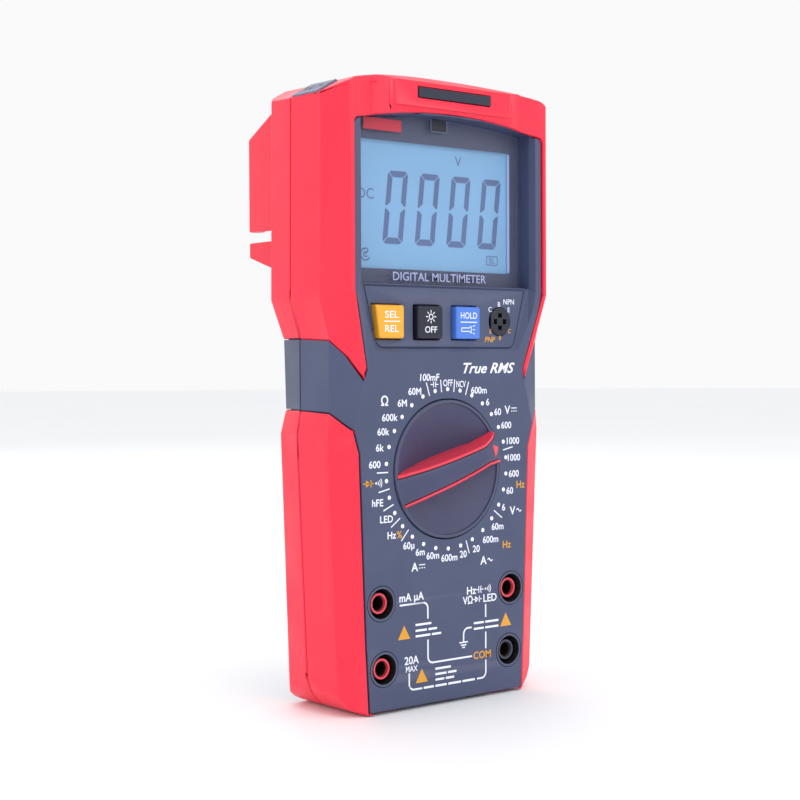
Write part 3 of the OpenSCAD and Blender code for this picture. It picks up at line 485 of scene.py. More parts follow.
@dataclass
class Shading:
    """Gives a rounded mesh normals that keep its flat faces flat and its radii smooth.

    Faces in one plane form a patch. A wide patch keeps its own normal at every corner, and
    the narrow faces beside it turn smoothly into it.

    Angles are in degrees: faces folded past crease stay apart, faces within plane are one
    patch, patches of like area (the smaller over alike of the larger) that meet within
    gentle belong to a curve, and a narrow face takes a wide neighbour's normal within lean.
    flat is the least cosine between two faces of one patch, width_mm a wide patch's least.
    """

    crease: float = 40.0
    plane: float = 0.4
    gentle: float = 14.0
    width_mm: float = 0.8
    lean: float = 50.0
    flat: float = 0.9998
    alike: float = 0.15

    def settle(self, mesh: bpy.types.Mesh) -> None:
        """Sets the mesh's corner normals."""
        bm = bmesh.new()
        bm.from_mesh(mesh)
        bm.faces.ensure_lookup_table()
        bm.normal_update()
        patch = self._patches(bm)
        normals, wide = self._measure(bm, patch)
        near = math.cos(math.radians(self.lean))
        fold = math.cos(math.radians(self.crease))
        corners: list[Vector] = []
        for face in bm.faces:
            own = patch[face.index]
            for vert in face.verts:
                if own in wide:
                    corners.append(normals[own])
                    continue
                beside = {patch[f.index] for f in vert.link_faces} & wide
                best = max(beside, key=lambda g: face.normal.dot(normals[g]), default=None)
                if best is not None and face.normal.dot(normals[best]) > near:
                    corners.append(normals[best])
                    continue
                blend = Vector()
                for other in vert.link_faces:
                    if patch[other.index] not in wide and face.normal.dot(other.normal) > fold:
                        blend += other.normal * other.calc_area()
                corners.append(blend.normalized() if blend.length > 0 else face.normal.copy())
        bm.free()
        for polygon in mesh.polygons:
            polygon.use_smooth = True
        mesh.normals_split_custom_set([tuple(n) for n in corners])

    def _patches(self, bm: bmesh.types.BMesh) -> list[int]:
        """The patch number of each face."""
        patch = [-1] * len(bm.faces)
        limit = math.radians(self.plane)
        for start in bm.faces:
            if patch[start.index] >= 0:
                continue
            patch[start.index] = start.index
            stack = [start]
            while stack:
                face = stack.pop()
                for edge in face.edges:
                    if len(edge.link_faces) != 2 or edge.calc_face_angle(9.0) > limit:
                        continue
                    for other in edge.link_faces:
                        if patch[other.index] < 0 and other.normal.dot(start.normal) > self.flat:
                            patch[other.index] = start.index
                            stack.append(other)
        return patch

    def _measure(self, bm: bmesh.types.BMesh, patch: Sequence[int]) -> tuple[dict[int, Vector], set[int]]:
        """Each patch's normal, and the patches that are wide and truly flat."""
        normals: dict[int, Vector] = {}
        area: dict[int, float] = {}
        rim: dict[int, float] = {}
        for face in bm.faces:
            g, size = patch[face.index], face.calc_area()
            normals[g] = normals.get(g, Vector()) + face.normal * size
            area[g] = area.get(g, 0.0) + size
        curved: set[int] = set()
        for edge in bm.edges:
            groups = {patch[f.index] for f in edge.link_faces}
            if len(groups) != 2:
                continue
            a, b = groups
            for g in groups:
                rim[g] = rim.get(g, 0.0) + edge.calc_length()
            angle = math.degrees(edge.calc_face_angle(3.0))
            if angle < self.gentle and min(area[a], area[b]) > self.alike * max(area[a], area[b]):
                curved |= groups
        wide = {g for g in area if g not in curved and area[g] > self.width_mm * MM * rim.get(g, 0.0) / 2}
        return {g: n.normalized() for g, n in normals.items()}, wide


@dataclass
class Softener:
    """Gives a copy of a CAD node the small radii that moulding leaves on it.

    The copy's triangles are merged, flat ones are joined, and its sharp edges get a rounded
    bevel no wider than the faces beside them allow.
    """

    node: str
    radius_mm: float = 0.35
    sharp: float = 24.0
    segments: int = 3

    def soften(self, name: str, finish: Finish, crease: float = 40.0) -> bpy.types.Object:
        """Builds the rounded copy.

        Args:
            name: The new piece's name.
            finish: Its finish.
            crease: Edges sharper than this many degrees stay crisp.

        Returns:
            The piece, at the origin, with its radii in its mesh.
        """
        source = frame["nodes"][self.node]
        bm = bmesh.new()
        bm.from_mesh(source.data)
        bmesh.ops.remove_doubles(bm, verts=bm.verts, dist=2e-6)
        if not self.radius_mm:
            mesh = bpy.data.meshes.new(name)
            bm.to_mesh(mesh)
            bm.free()
            return self._show(mesh, name, finish, crease)
        bmesh.ops.dissolve_limit(
            bm, angle_limit=math.radians(0.6), use_dissolve_boundaries=False,
            verts=bm.verts, edges=bm.edges, delimit={"NORMAL"},
        )
        weight = bm.edges.layers.float.new("bevel_weight_edge")
        width = self.radius_mm * MM
        keen = {e for e in bm.edges if len(e.link_faces) == 2 and e.calc_face_angle(0.0) > math.radians(self.sharp)}
        for e in keen:
            room = width
            for v in e.verts:
                for other in v.link_edges:
                    if other not in keen:
                        room = min(room, 0.45 * other.calc_length())
            foot = e.verts[0].co
            along = (e.verts[1].co - foot).normalized()
            for f in e.link_faces:
                height = max((v.co - foot - along * (v.co - foot).dot(along)).length for v in f.verts)
                room = min(room, 0.45 * height)
            room = min(room, 0.9 * e.calc_length() + 0.2 * width)
            e[weight] = max(0.0, min(1.0, room / width))
        many = [f for f in bm.faces if len(f.verts) > 4]
        bmesh.ops.triangulate(bm, faces=many, quad_method="BEAUTY", ngon_method="BEAUTY")
        for f in bm.faces:
            f.smooth = True
        rough = bpy.data.meshes.new(name + "_rough")
        bm.to_mesh(rough)
        bm.free()
        work = bpy.data.objects.new(name + "_rough", rough)
        bpy.context.scene.collection.objects.link(work)
        bevel = work.modifiers.new("moulded_radius", "BEVEL")
        bevel.limit_method = "WEIGHT"
        bevel.width = width
        bevel.segments = self.segments
        bevel.use_clamp_overlap = False
        mesh = evaluated_mesh(work, name)
        bpy.data.objects.remove(work)
        self._refill(mesh)
        return self._show(mesh, name, finish, crease)

    def _show(self, mesh: bpy.types.Mesh, name: str, finish: Finish, crease: float) -> bpy.types.Object:
        """Shades the copy, keeps it in the node's box and dresses it."""
        Shading(crease).settle(mesh)
        lo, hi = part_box(self.node)
        for v in mesh.vertices:
            v.co = Vector(max(lo[k], min(hi[k], v.co[k])) for k in range(3))
        piece = bpy.data.objects.new(name, mesh)
        bpy.context.scene.collection.objects.link(piece)
        mesh.materials.clear()
        mesh.materials.append(finish.make())
        return piece

    def _refill(self, mesh: bpy.types.Mesh) -> None:
        """Fills again each flat face in which the radii turned a sliver over."""
        bm = bmesh.new()
        bm.from_mesh(mesh)
        bm.normal_update()
        seen: set[bmesh.types.BMFace] = set()
        patches = []
        for start in sorted(bm.faces, key=lambda f: -f.calc_area()):
            if start in seen or start.calc_area() < 1e-8:
                continue
            seen.add(start)
            origin, normal = start.verts[0].co.copy(), start.normal.copy()
            stack, patch = [start], []
            while stack:
                face = stack.pop()
                patch.append(face)
                for edge in face.edges:
                    for other in edge.link_faces:
                        if other not in seen and all(abs((v.co - origin).dot(normal)) < 3e-6 for v in other.verts):
                            seen.add(other)
                            stack.append(other)
            patches.append(patch)
        for patch in patches:
            total = sum((f.normal * f.calc_area() for f in patch), Vector())
            out = total.normalized()
            if len(patch) < 3 or all(f.normal.dot(out) > 0 for f in patch):
                continue
            inside = set(patch)
            rim = [e for e in {e for f in patch for e in f.edges} if sum(f in inside for f in e.link_faces) == 1]
            old = [[v for v in f.verts] for f in patch]
            bmesh.ops.delete(bm, geom=patch, context="FACES_ONLY")
            made = bmesh.ops.triangle_fill(bm, edges=rim, normal=out, use_beauty=True)["geom"]
            fresh = [g for g in made if isinstance(g, bmesh.types.BMFace)]
            area = sum(f.calc_area() for f in fresh)
            if abs(area - total.length) < 0.002 * total.length:
                for f in fresh:
                    f.normal_update()
                    if f.normal.dot(out) < 0:
                        f.normal_flip()
                continue
            bmesh.ops.delete(bm, geom=fresh, context="FACES_ONLY")
            for verts in old:
                if bm.faces.get(verts) is None:
                    bm.faces.new(verts)
        loose = [e for e in bm.edges if not e.link_faces]
        bmesh.ops.delete(bm, geom=loose, context="EDGES")
        bm.to_mesh(mesh)
        bm.free()


def dress_node(node: str, finish: Finish) -> None:
    """Gives a CAD node that is shown as it is its finish."""
    piece = frame["nodes"][node]
    piece.data.materials.clear()
    piece.data.materials.append(finish.make())
    LOG.info("%s: kept, finish %s", node, finish.name)


# Geometry node trees


@dataclass
class Tree:
    """A geometry node tree under construction, with its named inputs."""

    name: str
    group: bpy.types.NodeTree = field(init=False)

    def __post_init__(self) -> None:
        """Makes the empty tree with its geometry in and out."""
        self.group = bpy.data.node_groups.new(self.name, "GeometryNodeTree")
        self.group.interface.new_socket("Geometry", in_out="INPUT", socket_type="NodeSocketGeometry")
        self.group.interface.new_socket("Geometry", in_out="OUTPUT", socket_type="NodeSocketGeometry")
        self.entry = self.group.nodes.new("NodeGroupInput")
        self.exit = self.group.nodes.new("NodeGroupOutput")

    def size(self, name: str, kind: str = "NodeSocketFloat") -> bpy.types.NodeSocket:
        """Adds a named input and returns the socket to read it from."""
        self.group.interface.new_socket(name, in_out="INPUT", socket_type=kind)
        return self.entry.outputs[name]

    def node(self, kind: str, **settings: object) -> bpy.types.Node:
        """Adds a node and sets its properties."""
        made = self.group.nodes.new(kind)
        for key, value in settings.items():
            setattr(made, key, value)
        return made

    def link(self, source: bpy.types.NodeSocket, target: bpy.types.NodeSocket) -> None:
        """Joins two sockets."""
        self.group.links.new(source, target)

    def close(self, instances: bpy.types.NodeSocket, finish: Finish) -> None:
        """Ends the tree with Realize Instances and Set Material."""
        real = self.node("GeometryNodeRealizeInstances")
        dress = self.node("GeometryNodeSetMaterial")
        dress.inputs["Material"].default_value = finish.make()
        self.link(instances, real.inputs["Geometry"])
        self.link(real.outputs["Geometry"], dress.inputs["Geometry"])
        self.link(dress.outputs["Geometry"], self.exit.inputs[0])

    def grow(
        self, seeds: Iterable[Vector], values: dict[str, object], name: str, finish: Finish, crease: float = 32.0
    ) -> bpy.types.Object:
        """Runs the tree on seed points and keeps the result as a plain mesh.

        Args:
            seeds: Where the repeats stand, in the frame's metres.
            values: The named inputs' values.
            name: The new piece's name.
            finish: The finish that the tree sets.
            crease: Edges sharper than this many degrees stay crisp.

        Returns:
            The piece, with no modifier left on it.
        """
        mesh = bpy.data.meshes.new(name + "_seeds")
        mesh.from_pydata([tuple(s) for s in seeds], [], [])
        work = bpy.data.objects.new(name + "_seeds", mesh)
        bpy.context.scene.collection.objects.link(work)
        grown = work.modifiers.new("grow", "NODES")
        grown.node_group = self.group
        for item in self.group.interface.items_tree:
            if item.in_out == "INPUT" and item.name in values:
                grown[item.identifier] = values[item.name]
        mesh = evaluated_mesh(work, name)
        bpy.data.objects.remove(work)
        return put_on_stage(mesh, name, finish, crease)


def stamp_tree(name: str, stamp: bpy.types.Object, finish: Finish, turn_seed: Optional[int] = None) -> Tree:
    """A tree that stands one stamp on every seed point.

    Args:
        name: The tree's name.
        stamp: The object to repeat, drawn about its own origin.
        finish: What the repeats are made of.
        turn_seed: With a seed, each repeat is turned about y by a random angle.

    Returns:
        The finished tree.
    """
    tree = Tree(name)
    scale = tree.size("Scale")
    info = tree.node("GeometryNodeObjectInfo")
    info.inputs["Object"].default_value = stamp
    each = tree.node("GeometryNodeInstanceOnPoints")
    tree.link(tree.entry.outputs["Geometry"], each.inputs["Points"])
    tree.link(info.outputs["Geometry"], each.inputs["Instance"])
    tree.link(scale, each.inputs["Scale"])
    if turn_seed is not None:
        chance = tree.node("FunctionNodeRandomValue", data_type="FLOAT_VECTOR")
        chance.inputs["Min"].default_value = (0.0, 0.0, 0.0)
        chance.inputs["Max"].default_value = (0.0, 6.283, 0.0)
        chance.inputs["Seed"].default_value = turn_seed
        turn = tree.node("FunctionNodeEulerToRotation")
        tree.link(chance.outputs["Value"], turn.inputs["Euler"])
        tree.link(turn.outputs["Rotation"], each.inputs["Rotation"])
    tree.close(each.outputs["Instances"], finish)
    return tree


# Lettering


@dataclass(frozen=True)
class Legend:
    """One printed word: its middle, capitals' height and width (mm), slant and boldness.

    A width of nothing leaves the word as wide as its letters make it.
    """

    words: str
    x: float
    z: float
    cap: float = 2.0
    width: float = 0.0
    slant: float = 0.0
    bold: float = 0.016


@cache
def cap_share() -> float:
    """Height of a capital in the built-in font at size one."""
    ys = [v.co.y for v in letter_mesh("H", 0.0, 0.0).vertices]
    return max(ys) - min(ys)


def letter_mesh(words: str, slant: float, bold: float) -> bpy.types.Mesh:
    """Flat letters about the origin, at size one, thickened by bold."""
    curve = bpy.data.curves.new("letters", "FONT")
    curve.body = words
    curve.size = 1.0
    curve.align_x = "CENTER"
    curve.shear = slant
    curve.offset = bold
    curve.resolution_u = 3
    curve.extrude = 0.01
    work = bpy.data.objects.new("letters", curve)
    bpy.context.scene.collection.objects.link(work)
    graph = bpy.context.evaluated_depsgraph_get()
    mesh = bpy.data.meshes.new_from_object(work.evaluated_get(graph), depsgraph=graph)
    bpy.data.objects.remove(work)
    bpy.data.curves.remove(curve)
    return mesh


@dataclass
class PrintSheet:
    """Everything printed on one surface in one ink: words, lines and small figures."""

    name: str
    finish: Finish
    y: float = 0.0
    thickness: float = 0.03
    lie: Optional[Callable[[float], float]] = None
    bm: bmesh.types.BMesh = field(default_factory=bmesh.new)

    def word(self, legend: Legend) -> None:
        """Adds one word, its middle at the legend's place."""
        mesh = letter_mesh(legend.words, legend.slant, legend.bold)
        xs = [v.co.x for v in mesh.vertices]
        scale = legend.cap / cap_share()
        stretch = legend.width / (max(xs) - min(xs)) if legend.width else scale
        middle = (max(xs) + min(xs)) / 2
        base = cap_share() / 2
        part = bmesh.new()
        part.from_mesh(mesh)
        for v in part.verts:
            x, up, out = v.co
            v.co = at(
                legend.x + (x - middle) * stretch,
                self.y - self.thickness / 2 - (self.thickness / 2 if out > 0 else -self.thickness / 2),
                legend.z + (up - base) * scale,
            )
        part.to_mesh(mesh)
        part.free()
        self.bm.from_mesh(mesh)
        bpy.data.meshes.remove(mesh)

    def shape(self, outline: Sequence[Point]) -> None:
        """Adds a filled figure."""
        prism(self.bm, outline, self.y - self.thickness, self.y)

    def line(self, path: Sequence[Point], width: float) -> None:
        """Adds a line."""
        ribbon(self.bm, path, width, self.y - self.thickness, self.y)

    def circle(self, x: float, z: float, r: float, width: float, start: float = 0.0, end: float = 360.0) -> None:
        """Adds an arc or a whole ring."""
        self.line(arc(x, z, r, start, end, max(6, int(abs(end - start) / 12))), width)

    def capacitor(self, x: float, z: float, h: float) -> None:
        """Adds the sign of a capacitor, h high."""
        self.line([(x - 0.35, z - h / 2), (x - 0.35, z + h / 2)], 0.3)
        self.line(arc(x + 0.35 + h * 0.9, z, h * 0.9, 146, 214, 5), 0.3)
        self.line([(x - 1.5, z), (x - 0.35, z)], 0.3)
        self.line([(x + 0.4, z), (x + 1.5, z)], 0.3)

    def diode(self, x: float, z: float, h: float) -> None:
        """Adds the sign of a diode, h high."""
        self.shape([(x - h * 0.45, z - h / 2), (x - h * 0.45, z + h / 2), (x + h * 0.4, z)])
        self.line([(x + h * 0.45, z - h / 2), (x + h * 0.45, z + h / 2)], 0.3)
        self.line([(x - h * 0.95, z), (x + h * 0.95, z)], 0.28)

    def beeper(self, x: float, z: float, h: float) -> None:
        """Adds a dot with sound waves to its right, h high."""
        self.shape(arc(x - h * 0.75, z, 0.33, 0, 330, 11))
        for k in (1, 2, 3):
            self.line(arc(x - h * 0.75, z, 0.2 + 0.33 * k * h, -36, 36, 5), 0.24)

    def finished(self) -> bpy.types.Object:
        """The sheet as one object, laid on its surface."""
        if self.lie:
            for v in self.bm.verts:
                v.co.y += self.lie(v.co.z / MM) * MM
        return settle(self.bm, self.name, self.finish)


# Sub-assemblies


@dataclass
class Shells:
    """The grey front and rear shells, the battery door and the shoulder badge."""

    radius_mm: float = 0.35

    def dress(self) -> None:
        """Softens the front shell's and the door's edges, keeps the rear shell sharp, and prints the badge."""
        for node, radius, finish in (
            ("front_case", 0.3, FINISH.shell), ("rear_case", 0.0, FINISH.rear), ("battery_door", 0.3, FINISH.rear),
        ):
            hand_over(Softener(node, radius).soften(node + "_moulded", finish), Body.CASE, [node])
        badge = Softener("shoulder_plate", 0.15).soften("shoulder_badge", FINISH.badge)
        hand_over(badge, Body.CASE, ["shoulder_plate"])
        self._badge_word()
        self._door_grip()

    def _badge_word(self) -> None:
        """Prints the field sensor's initials on the badge, in its own plane."""
        node = frame["nodes"]["shoulder_plate"]
        node.data.update()
        top = max(node.data.polygons, key=lambda p: p.area * (1.0 if p.normal.z > 0.2 else 0.0))
        faces = [p for p in node.data.polygons if p.normal.dot(top.normal) > 0.995]
        area = sum(p.area for p in faces)
        middle = sum((p.center * p.area for p in faces), Vector()) / area
        out = top.normal.normalized()
        run = Vector((0, -1, 0)) - out * out.dot(Vector((0, -1, 0)))
        run = run.normalized()
        run = -run if out.cross(run).z < 0 else run
        mesh = letter_mesh("NCV", 0.25, 0.04)
        scale = 3.4 * MM / cap_share()
        bm = bmesh.new()
        bm.from_mesh(mesh)
        up = out.cross(run).normalized()
        xs = [v.co.x for v in bm.verts]
        mid = (max(xs) + min(xs)) / 2
        for v in bm.verts:
            x, y, z = v.co
            proud = 0.01 * MM if z > 0 else -0.02 * MM
            v.co = middle + run * (x - mid) * scale + up * (y - cap_share() / 2) * scale + out * proud
        bpy.data.meshes.remove(mesh)
        hand_over(settle(bm, "badge_word", FINISH.dark_ink), Body.CASE)

    def _door_grip(self) -> None:
        """Raised ribs on the battery door, where a thumb holds it."""
        _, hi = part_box("battery_door")
        y = (hi.y - PANEL_Y) / MM
        tree = Tree("rib_row")
        long = tree.size("Length")
        block = tree.node("GeometryNodeMeshCube")
        join = tree.node("ShaderNodeCombineXYZ")
        join.inputs["Y"].default_value = 0.0003
        join.inputs["Z"].default_value = 0.0007
        tree.link(long, join.inputs["X"])
        tree.link(join.outputs["Vector"], block.inputs["Size"])
        each = tree.node("GeometryNodeInstanceOnPoints")
        tree.link(tree.entry.outputs["Geometry"], each.inputs["Points"])
        tree.link(block.outputs["Mesh"], each.inputs["Instance"])
        tree.close(each.outputs["Instances"], FINISH.rear)
        rows = [at(0, y - 0.14, 82 + 1.7 * k) for k in range(5)]
        ribs = tree.grow(rows, {"Length": 22 * MM}, "door_ribs", FINISH.rear)
        hand_over(ribs, Body.CASE)


@dataclass
class Bumpers:
    """The red soft bumpers round the hood, the feet and the back."""

    radius_mm: float = 0.6

    def dress(self) -> None:
        """Softens every bumper."""
        for node in (
            "hood_bumper", "lower_bumper_left", "lower_bumper_right",
            "rear_top_bumper", "rear_bumper_left", "rear_bumper_right",
        ):
            piece = Softener(node, self.radius_mm, 20.0).soften(node + "_moulded", FINISH.bumper)
            hand_over(piece, Body.CASE, [node])


@dataclass
class Display:
    """The lens, its print, and the liquid crystal display behind it."""

    lens_y: float = 3.4
    back_y: float = 4.92
    half: float = 29.8
    low: float = 127.0
    high: float = 163.7
    glass_y: float = 6.38
    digit_high: float = 21.2
    digit_wide: float = 7.6
    stroke: float = 1.85
    lean: float = 0.113

    def dress(self) -> None:
        """Builds the print, the segments and the glass, and dresses the nodes."""
        lens = Softener("display_lens", 0.2).soften("display_lens_moulded", FINISH.lens)
        hand_over(lens, Body.CASE, ["display_lens"])
        self._print()
        self._screen()
        self._segments()
        dress_node("display_bezel", FINISH.well)
        # The liquid crystal takes the painted glow of the display's finish.
        dress_node("lcd_glass", FINISH.lcd)
        dress_node("lcd_backlight", FINISH.diffuser)
        dress_node("zebra_strips", FINISH.silicone)
        dress_node("light_sensor", FINISH.jack)

    def _print(self) -> None:
        """The grey frame printed behind the lens, with its words."""
        lo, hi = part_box("display_lens")
        edge = (hi.x / MM) - 0.15
        base = lo.z / MM + 0.15
        top = hi.z / MM
        rise = 2.2
        radius = (edge ** 2 + rise ** 2) / (2 * rise)
        outer, inner = [], []
        steps = 24
        for k in range(steps + 1):
            x = -edge + 2 * edge * k / steps
            outer.append((x, top - 0.15 - (radius - math.sqrt(radius ** 2 - x ** 2))))
            inner.append((max(-self.half, min(self.half, x)), self.high))
        outer += [(edge, base + (top - base) * f) for f in (0.6, 0.3)]
        inner += [(self.half, self.high - (self.high - self.low) * f) for f in (0.4, 0.7)]
        for k in range(steps + 1):
            x = edge - 2 * edge * k / steps
            outer.append((x, base))
            inner.append((max(-self.half, min(self.half, x)), self.low))
        outer += [(-edge, base + (top - base) * f) for f in (0.3, 0.6)]
        inner += [(-self.half, self.high - (self.high - self.low) * f) for f in (0.7, 0.4)]
        bm = bmesh.new()
        ring_band(bm, outer, inner, self.back_y, self.back_y + 0.015)
        hand_over(settle(bm, "lens_print", FINISH.lens_print), Body.CASE)
        white = PrintSheet("lens_words", FINISH.title_ink, self.lens_y)
        white.word(Legend("DIGITAL MULTIMETER", 0.4, 124.9, 2.35, width=36.2, bold=0.006))
        hand_over(white.finished(), Body.CASE)
        plate = PrintSheet("lens_plate", FINISH.plate_red, self.lens_y)
        plate.shape(rounded_rectangle(-28.4, -14.4, 166.2, 169.6, 0.15))
        hand_over(plate.finished(), Body.CASE)
        tab = PrintSheet("sensor_tab", FINISH.dark_ink, self.lens_y, 0.05)
        tab.shape(rounded_rectangle(-2.9, 2.9, 167.6, 171.0, 0.5))
        hand_over(tab.finished(), Body.CASE)
        rim = PrintSheet("sensor_tab_rim", FINISH.badge, self.lens_y, 0.03)
        rim.line([(-3.1, 171.0), (-3.1, 168.0), (-2.7, 167.5), (2.7, 167.5), (3.1, 168.0), (3.1, 171.0)], 0.28)
        hand_over(rim.finished(), Body.CASE)

    def _screen(self) -> None:
        """The field in front of the glass with its painted glow, and a painted highlight strip along its right edge."""
        # The field carries the display's painted glow.
        field_sheet = PrintSheet("lcd_field", FINISH.lcd, self.glass_y + 0.02, 0.02)
        field_sheet.shape(rounded_rectangle(-30.3, 30.3, 126.4, 164.4, 0.2))
        hand_over(field_sheet.finished(), Body.CASE)
        # Painted highlight: a bright glowing strip for the glint along the display's right edge.
        glint_strip = PrintSheet("lcd_bright_edge", FINISH.lcd_glint, self.back_y + 0.9, 0.6)
        glint_strip.shape(rounded_rectangle(29.6, 30.3, 127.4, 163.4, 0.1))
        hand_over(glint_strip.finished(), Body.CASE)

    def _segments(self) -> None:
        """Four zeros and the small signs of the display."""
        sheet = PrintSheet("lcd_segments", FINISH.segment, self.glass_y, 0.02)
        for x in (-14.3, -2.1, 10.2, 22.6):
            self._zero(sheet, x, 144.9)
        sheet.word(Legend("V", 10.1, 160.0, 2.9, bold=0.0))
        sheet.word(Legend("DC", -25.2, 148.4, 3.0, bold=0.0))
        sheet.circle(-25.4, 131.0, 1.7, 0.45, 60, 330)
        sheet.line([(-25.4, 131.0), (-24.3, 132.3)], 0.45)
        sheet.circle(-25.4, 131.0, 0.7, 0.4, 60, 330)
        for path in (
            [(21.6, 129.6), (26.0, 129.6)], [(26.0, 129.6), (26.0, 132.2)],
            [(26.0, 132.2), (21.6, 132.2)], [(21.6, 132.2), (21.6, 129.6)],
        ):
            sheet.line(path, 0.3)
        sheet.word(Legend("BL", 23.8, 130.9, 1.7, bold=0.0))
        hand_over(sheet.finished(), Body.CASE)

    def _zero(self, sheet: PrintSheet, x: float, z: float) -> None:
        """One leaning seven-segment zero with mitred ends."""
        w, h, s, gap = self.digit_wide / 2, self.digit_high / 2, self.stroke, 0.22
        cut = 0.9

        def lean(points: Iterable[Point]) -> list[Point]:
            """Slants points about the digit's middle."""
            return [(x + px + self.lean * pz, z + pz) for px, pz in points]

        for sz in (-1, 1):
            sheet.shape(lean([
                (-w + cut + gap, sz * h), (w - cut - gap, sz * h),
                (w - 0.25 - gap, sz * (h - 0.5)),
                (w - s - gap * 0.4, sz * (h - s)), (-w + s + gap * 0.4, sz * (h - s)),
                (-w + 0.25 + gap, sz * (h - 0.5)),
            ]))
            for sx in (-1, 1):
                sheet.shape(lean([
                    (sx * w, sz * (h - 0.9)), (sx * (w - 0.35), sz * (h - 0.75)),
                    (sx * (w - s), sz * (h - s - gap)),
                    (sx * (w - s), sz * 1.55), (sx * (w - 0.5), sz * 0.35), (sx * w, sz * 0.6),
                ]))


@dataclass
class SignalBar:
    """The smoked window in the brow, with its lamps."""

    def dress(self) -> None:
        """Softens the window and dresses its lamps."""
        piece = Softener("signal_window", 0.3, 20.0).soften("signal_window_moulded", FINISH.signal)
        hand_over(piece, Body.CASE, ["signal_window"])
        dress_node("signal_leds", FINISH.diffuser)


@dataclass
class Selector:
    """The dished knob with its arched grip bar, its trims and its pointer."""

    axis_z: float = 68.8
    angle: float = 72.0
    radius: float = 20.3
    rim: float = 1.1
    top_y: float = -0.4
    dish_y: float = 4.6
    trim: float = 0.85

    def half_width(self, t: float) -> float:
        """Half the grip bar's width at a distance t along it, the pointer's end positive."""
        marks = ((-20.3, 3.9), (-10.0, 3.25), (0.0, 2.8), (12.3, 2.3), (16.5, 3.0), (20.3, 4.1))
        for (t0, w0), (t1, w1) in zip(marks, marks[1:]):
            if t <= t1:
                f = max(0.0, (t - t0) / (t1 - t0))
                return w0 + (w1 - w0) * f
        return marks[-1][1]

    def arch(self, t: float) -> float:
        """The y of the bar's top at a distance t along it."""
        marks = (
            (-20.3, -0.5), (-16.0, -2.0), (-11.0, -3.45), (-5.0, -4.7), (1.0, -5.22), (7.0, -5.26),
            (11.0, -5.0), (14.5, -4.25), (17.0, -3.3), (19.0, -2.2), (20.3, -1.3),
        )
        t = max(-self.radius, min(self.radius, t))
        for k in range(len(marks) - 1):
            (t0, y0), (t1, y1) = marks[k], marks[k + 1]
            if t <= t1:
                f = (t - t0) / (t1 - t0)
                before = marks[max(k - 1, 0)]
                after = marks[min(k + 2, len(marks) - 1)]
                m0 = (y1 - before[1]) / (t1 - before[0]) * (t1 - t0)
                m1 = (after[1] - y0) / (after[0] - t0) * (t1 - t0)
                return (
                    y0 * (2 * f ** 3 - 3 * f ** 2 + 1) + m0 * (f ** 3 - 2 * f ** 2 + f)
                    + y1 * (3 * f ** 2 - 2 * f ** 3) + m1 * (f ** 3 - f ** 2)
                )
        return marks[-1][1]

    def hollow(self, r: float) -> float:
        """The y of the dish at a distance r from the axis."""
        reach = self.radius - self.rim
        depth = self.dish_y - self.top_y
        ball = (reach ** 2 + depth ** 2) / (2 * depth)
        return self.dish_y - ball + math.sqrt(max(0.0, ball ** 2 - min(r, reach) ** 2))

    def place(self, s: float, y: float, t: float) -> Vector:
        """A point given across (s) and along (t) the bar."""
        a = math.radians(self.angle)
        return at(s * math.cos(a) + t * math.sin(a), y, self.axis_z - s * math.sin(a) + t * math.cos(a))

    def dress(self) -> None:
        """Builds the knob's shown pieces and dresses the switch behind it."""
        bm = bmesh.new()
        reach = self.radius - self.rim
        profile = [(0.0, self.dish_y)]
        profile += [(reach * k / 14, self.hollow(reach * k / 14) + 0.55 * (k / 14) ** 6) for k in range(1, 15)]
        profile += [
            (reach + 0.12, self.top_y + 0.02), (self.radius - 0.35, self.top_y),
            (self.radius - 0.1, self.top_y + 0.12), (self.radius, self.top_y + 0.4),
            (self.radius, 6.55), (0.0, 6.55),
        ]
        lathe(bm, profile, 0, self.axis_z, 128)
        hand_over(settle(bm, "knob_dish", FINISH.knob, 50), Body.SELECTOR, ["selector_knob"])
        hand_over(self._bar(), Body.SELECTOR)
        hand_over(self._trims(), Body.SELECTOR, ["knob_trims"])
        hand_over(self._pointer(), Body.SELECTOR, ["knob_pointer"])
        dress_node("switch_rotor", FINISH.acetal)
        dress_node("rotor_wipers", FINISH.gilt)
        dress_node("rotor_screw", FINISH.steel)
        dress_node("detent_ring", FINISH.acetal)
        dress_node("detent_balls", FINISH.steel)
        self._springs()

    def _stations(self, reach: float) -> list[float]:
        """Distances along the bar at which its section is drawn."""
        return [reach * (k / 28) for k in range(-28, 29)]

    def _bar(self) -> bpy.types.Object:
        """The grey grip bar, rounded where its top meets its sides."""
        bm = bmesh.new()
        rows = []
        for t in self._stations(self.radius - 0.15):
            w = min(self.half_width(t), math.sqrt(max(0.0, self.radius ** 2 - t ** 2)) + 4.2)
            top = min(self.arch(t), self.top_y - 0.02)
            crown = 0.1
            section = [(-w, 6.0), (-w, top + 0.35), (-w + 0.1, top + 0.14), (-w + 0.32, top + 0.03)]
            section += [(f * (w - 0.4), top - crown * (1 - f * f) * 0.5) for f in (-0.6, 0.0, 0.6)]
            section += [(w - 0.32, top + 0.03), (w - 0.1, top + 0.14), (w, top + 0.35), (w, 6.0)]
            row = []
            for s, y in section:
                room = math.sqrt(max(0.0, (self.radius - 0.02) ** 2 - s ** 2))
                row.append(bm.verts.new(self.place(s, y, max(-room, min(room, t)))))
            rows.append(row)
        skin(bm, rows)
        bm.faces.new(rows[0])
        bm.faces.new(list(reversed(rows[-1])))
        return settle(bm, "grip_bar", FINISH.knob, 40)

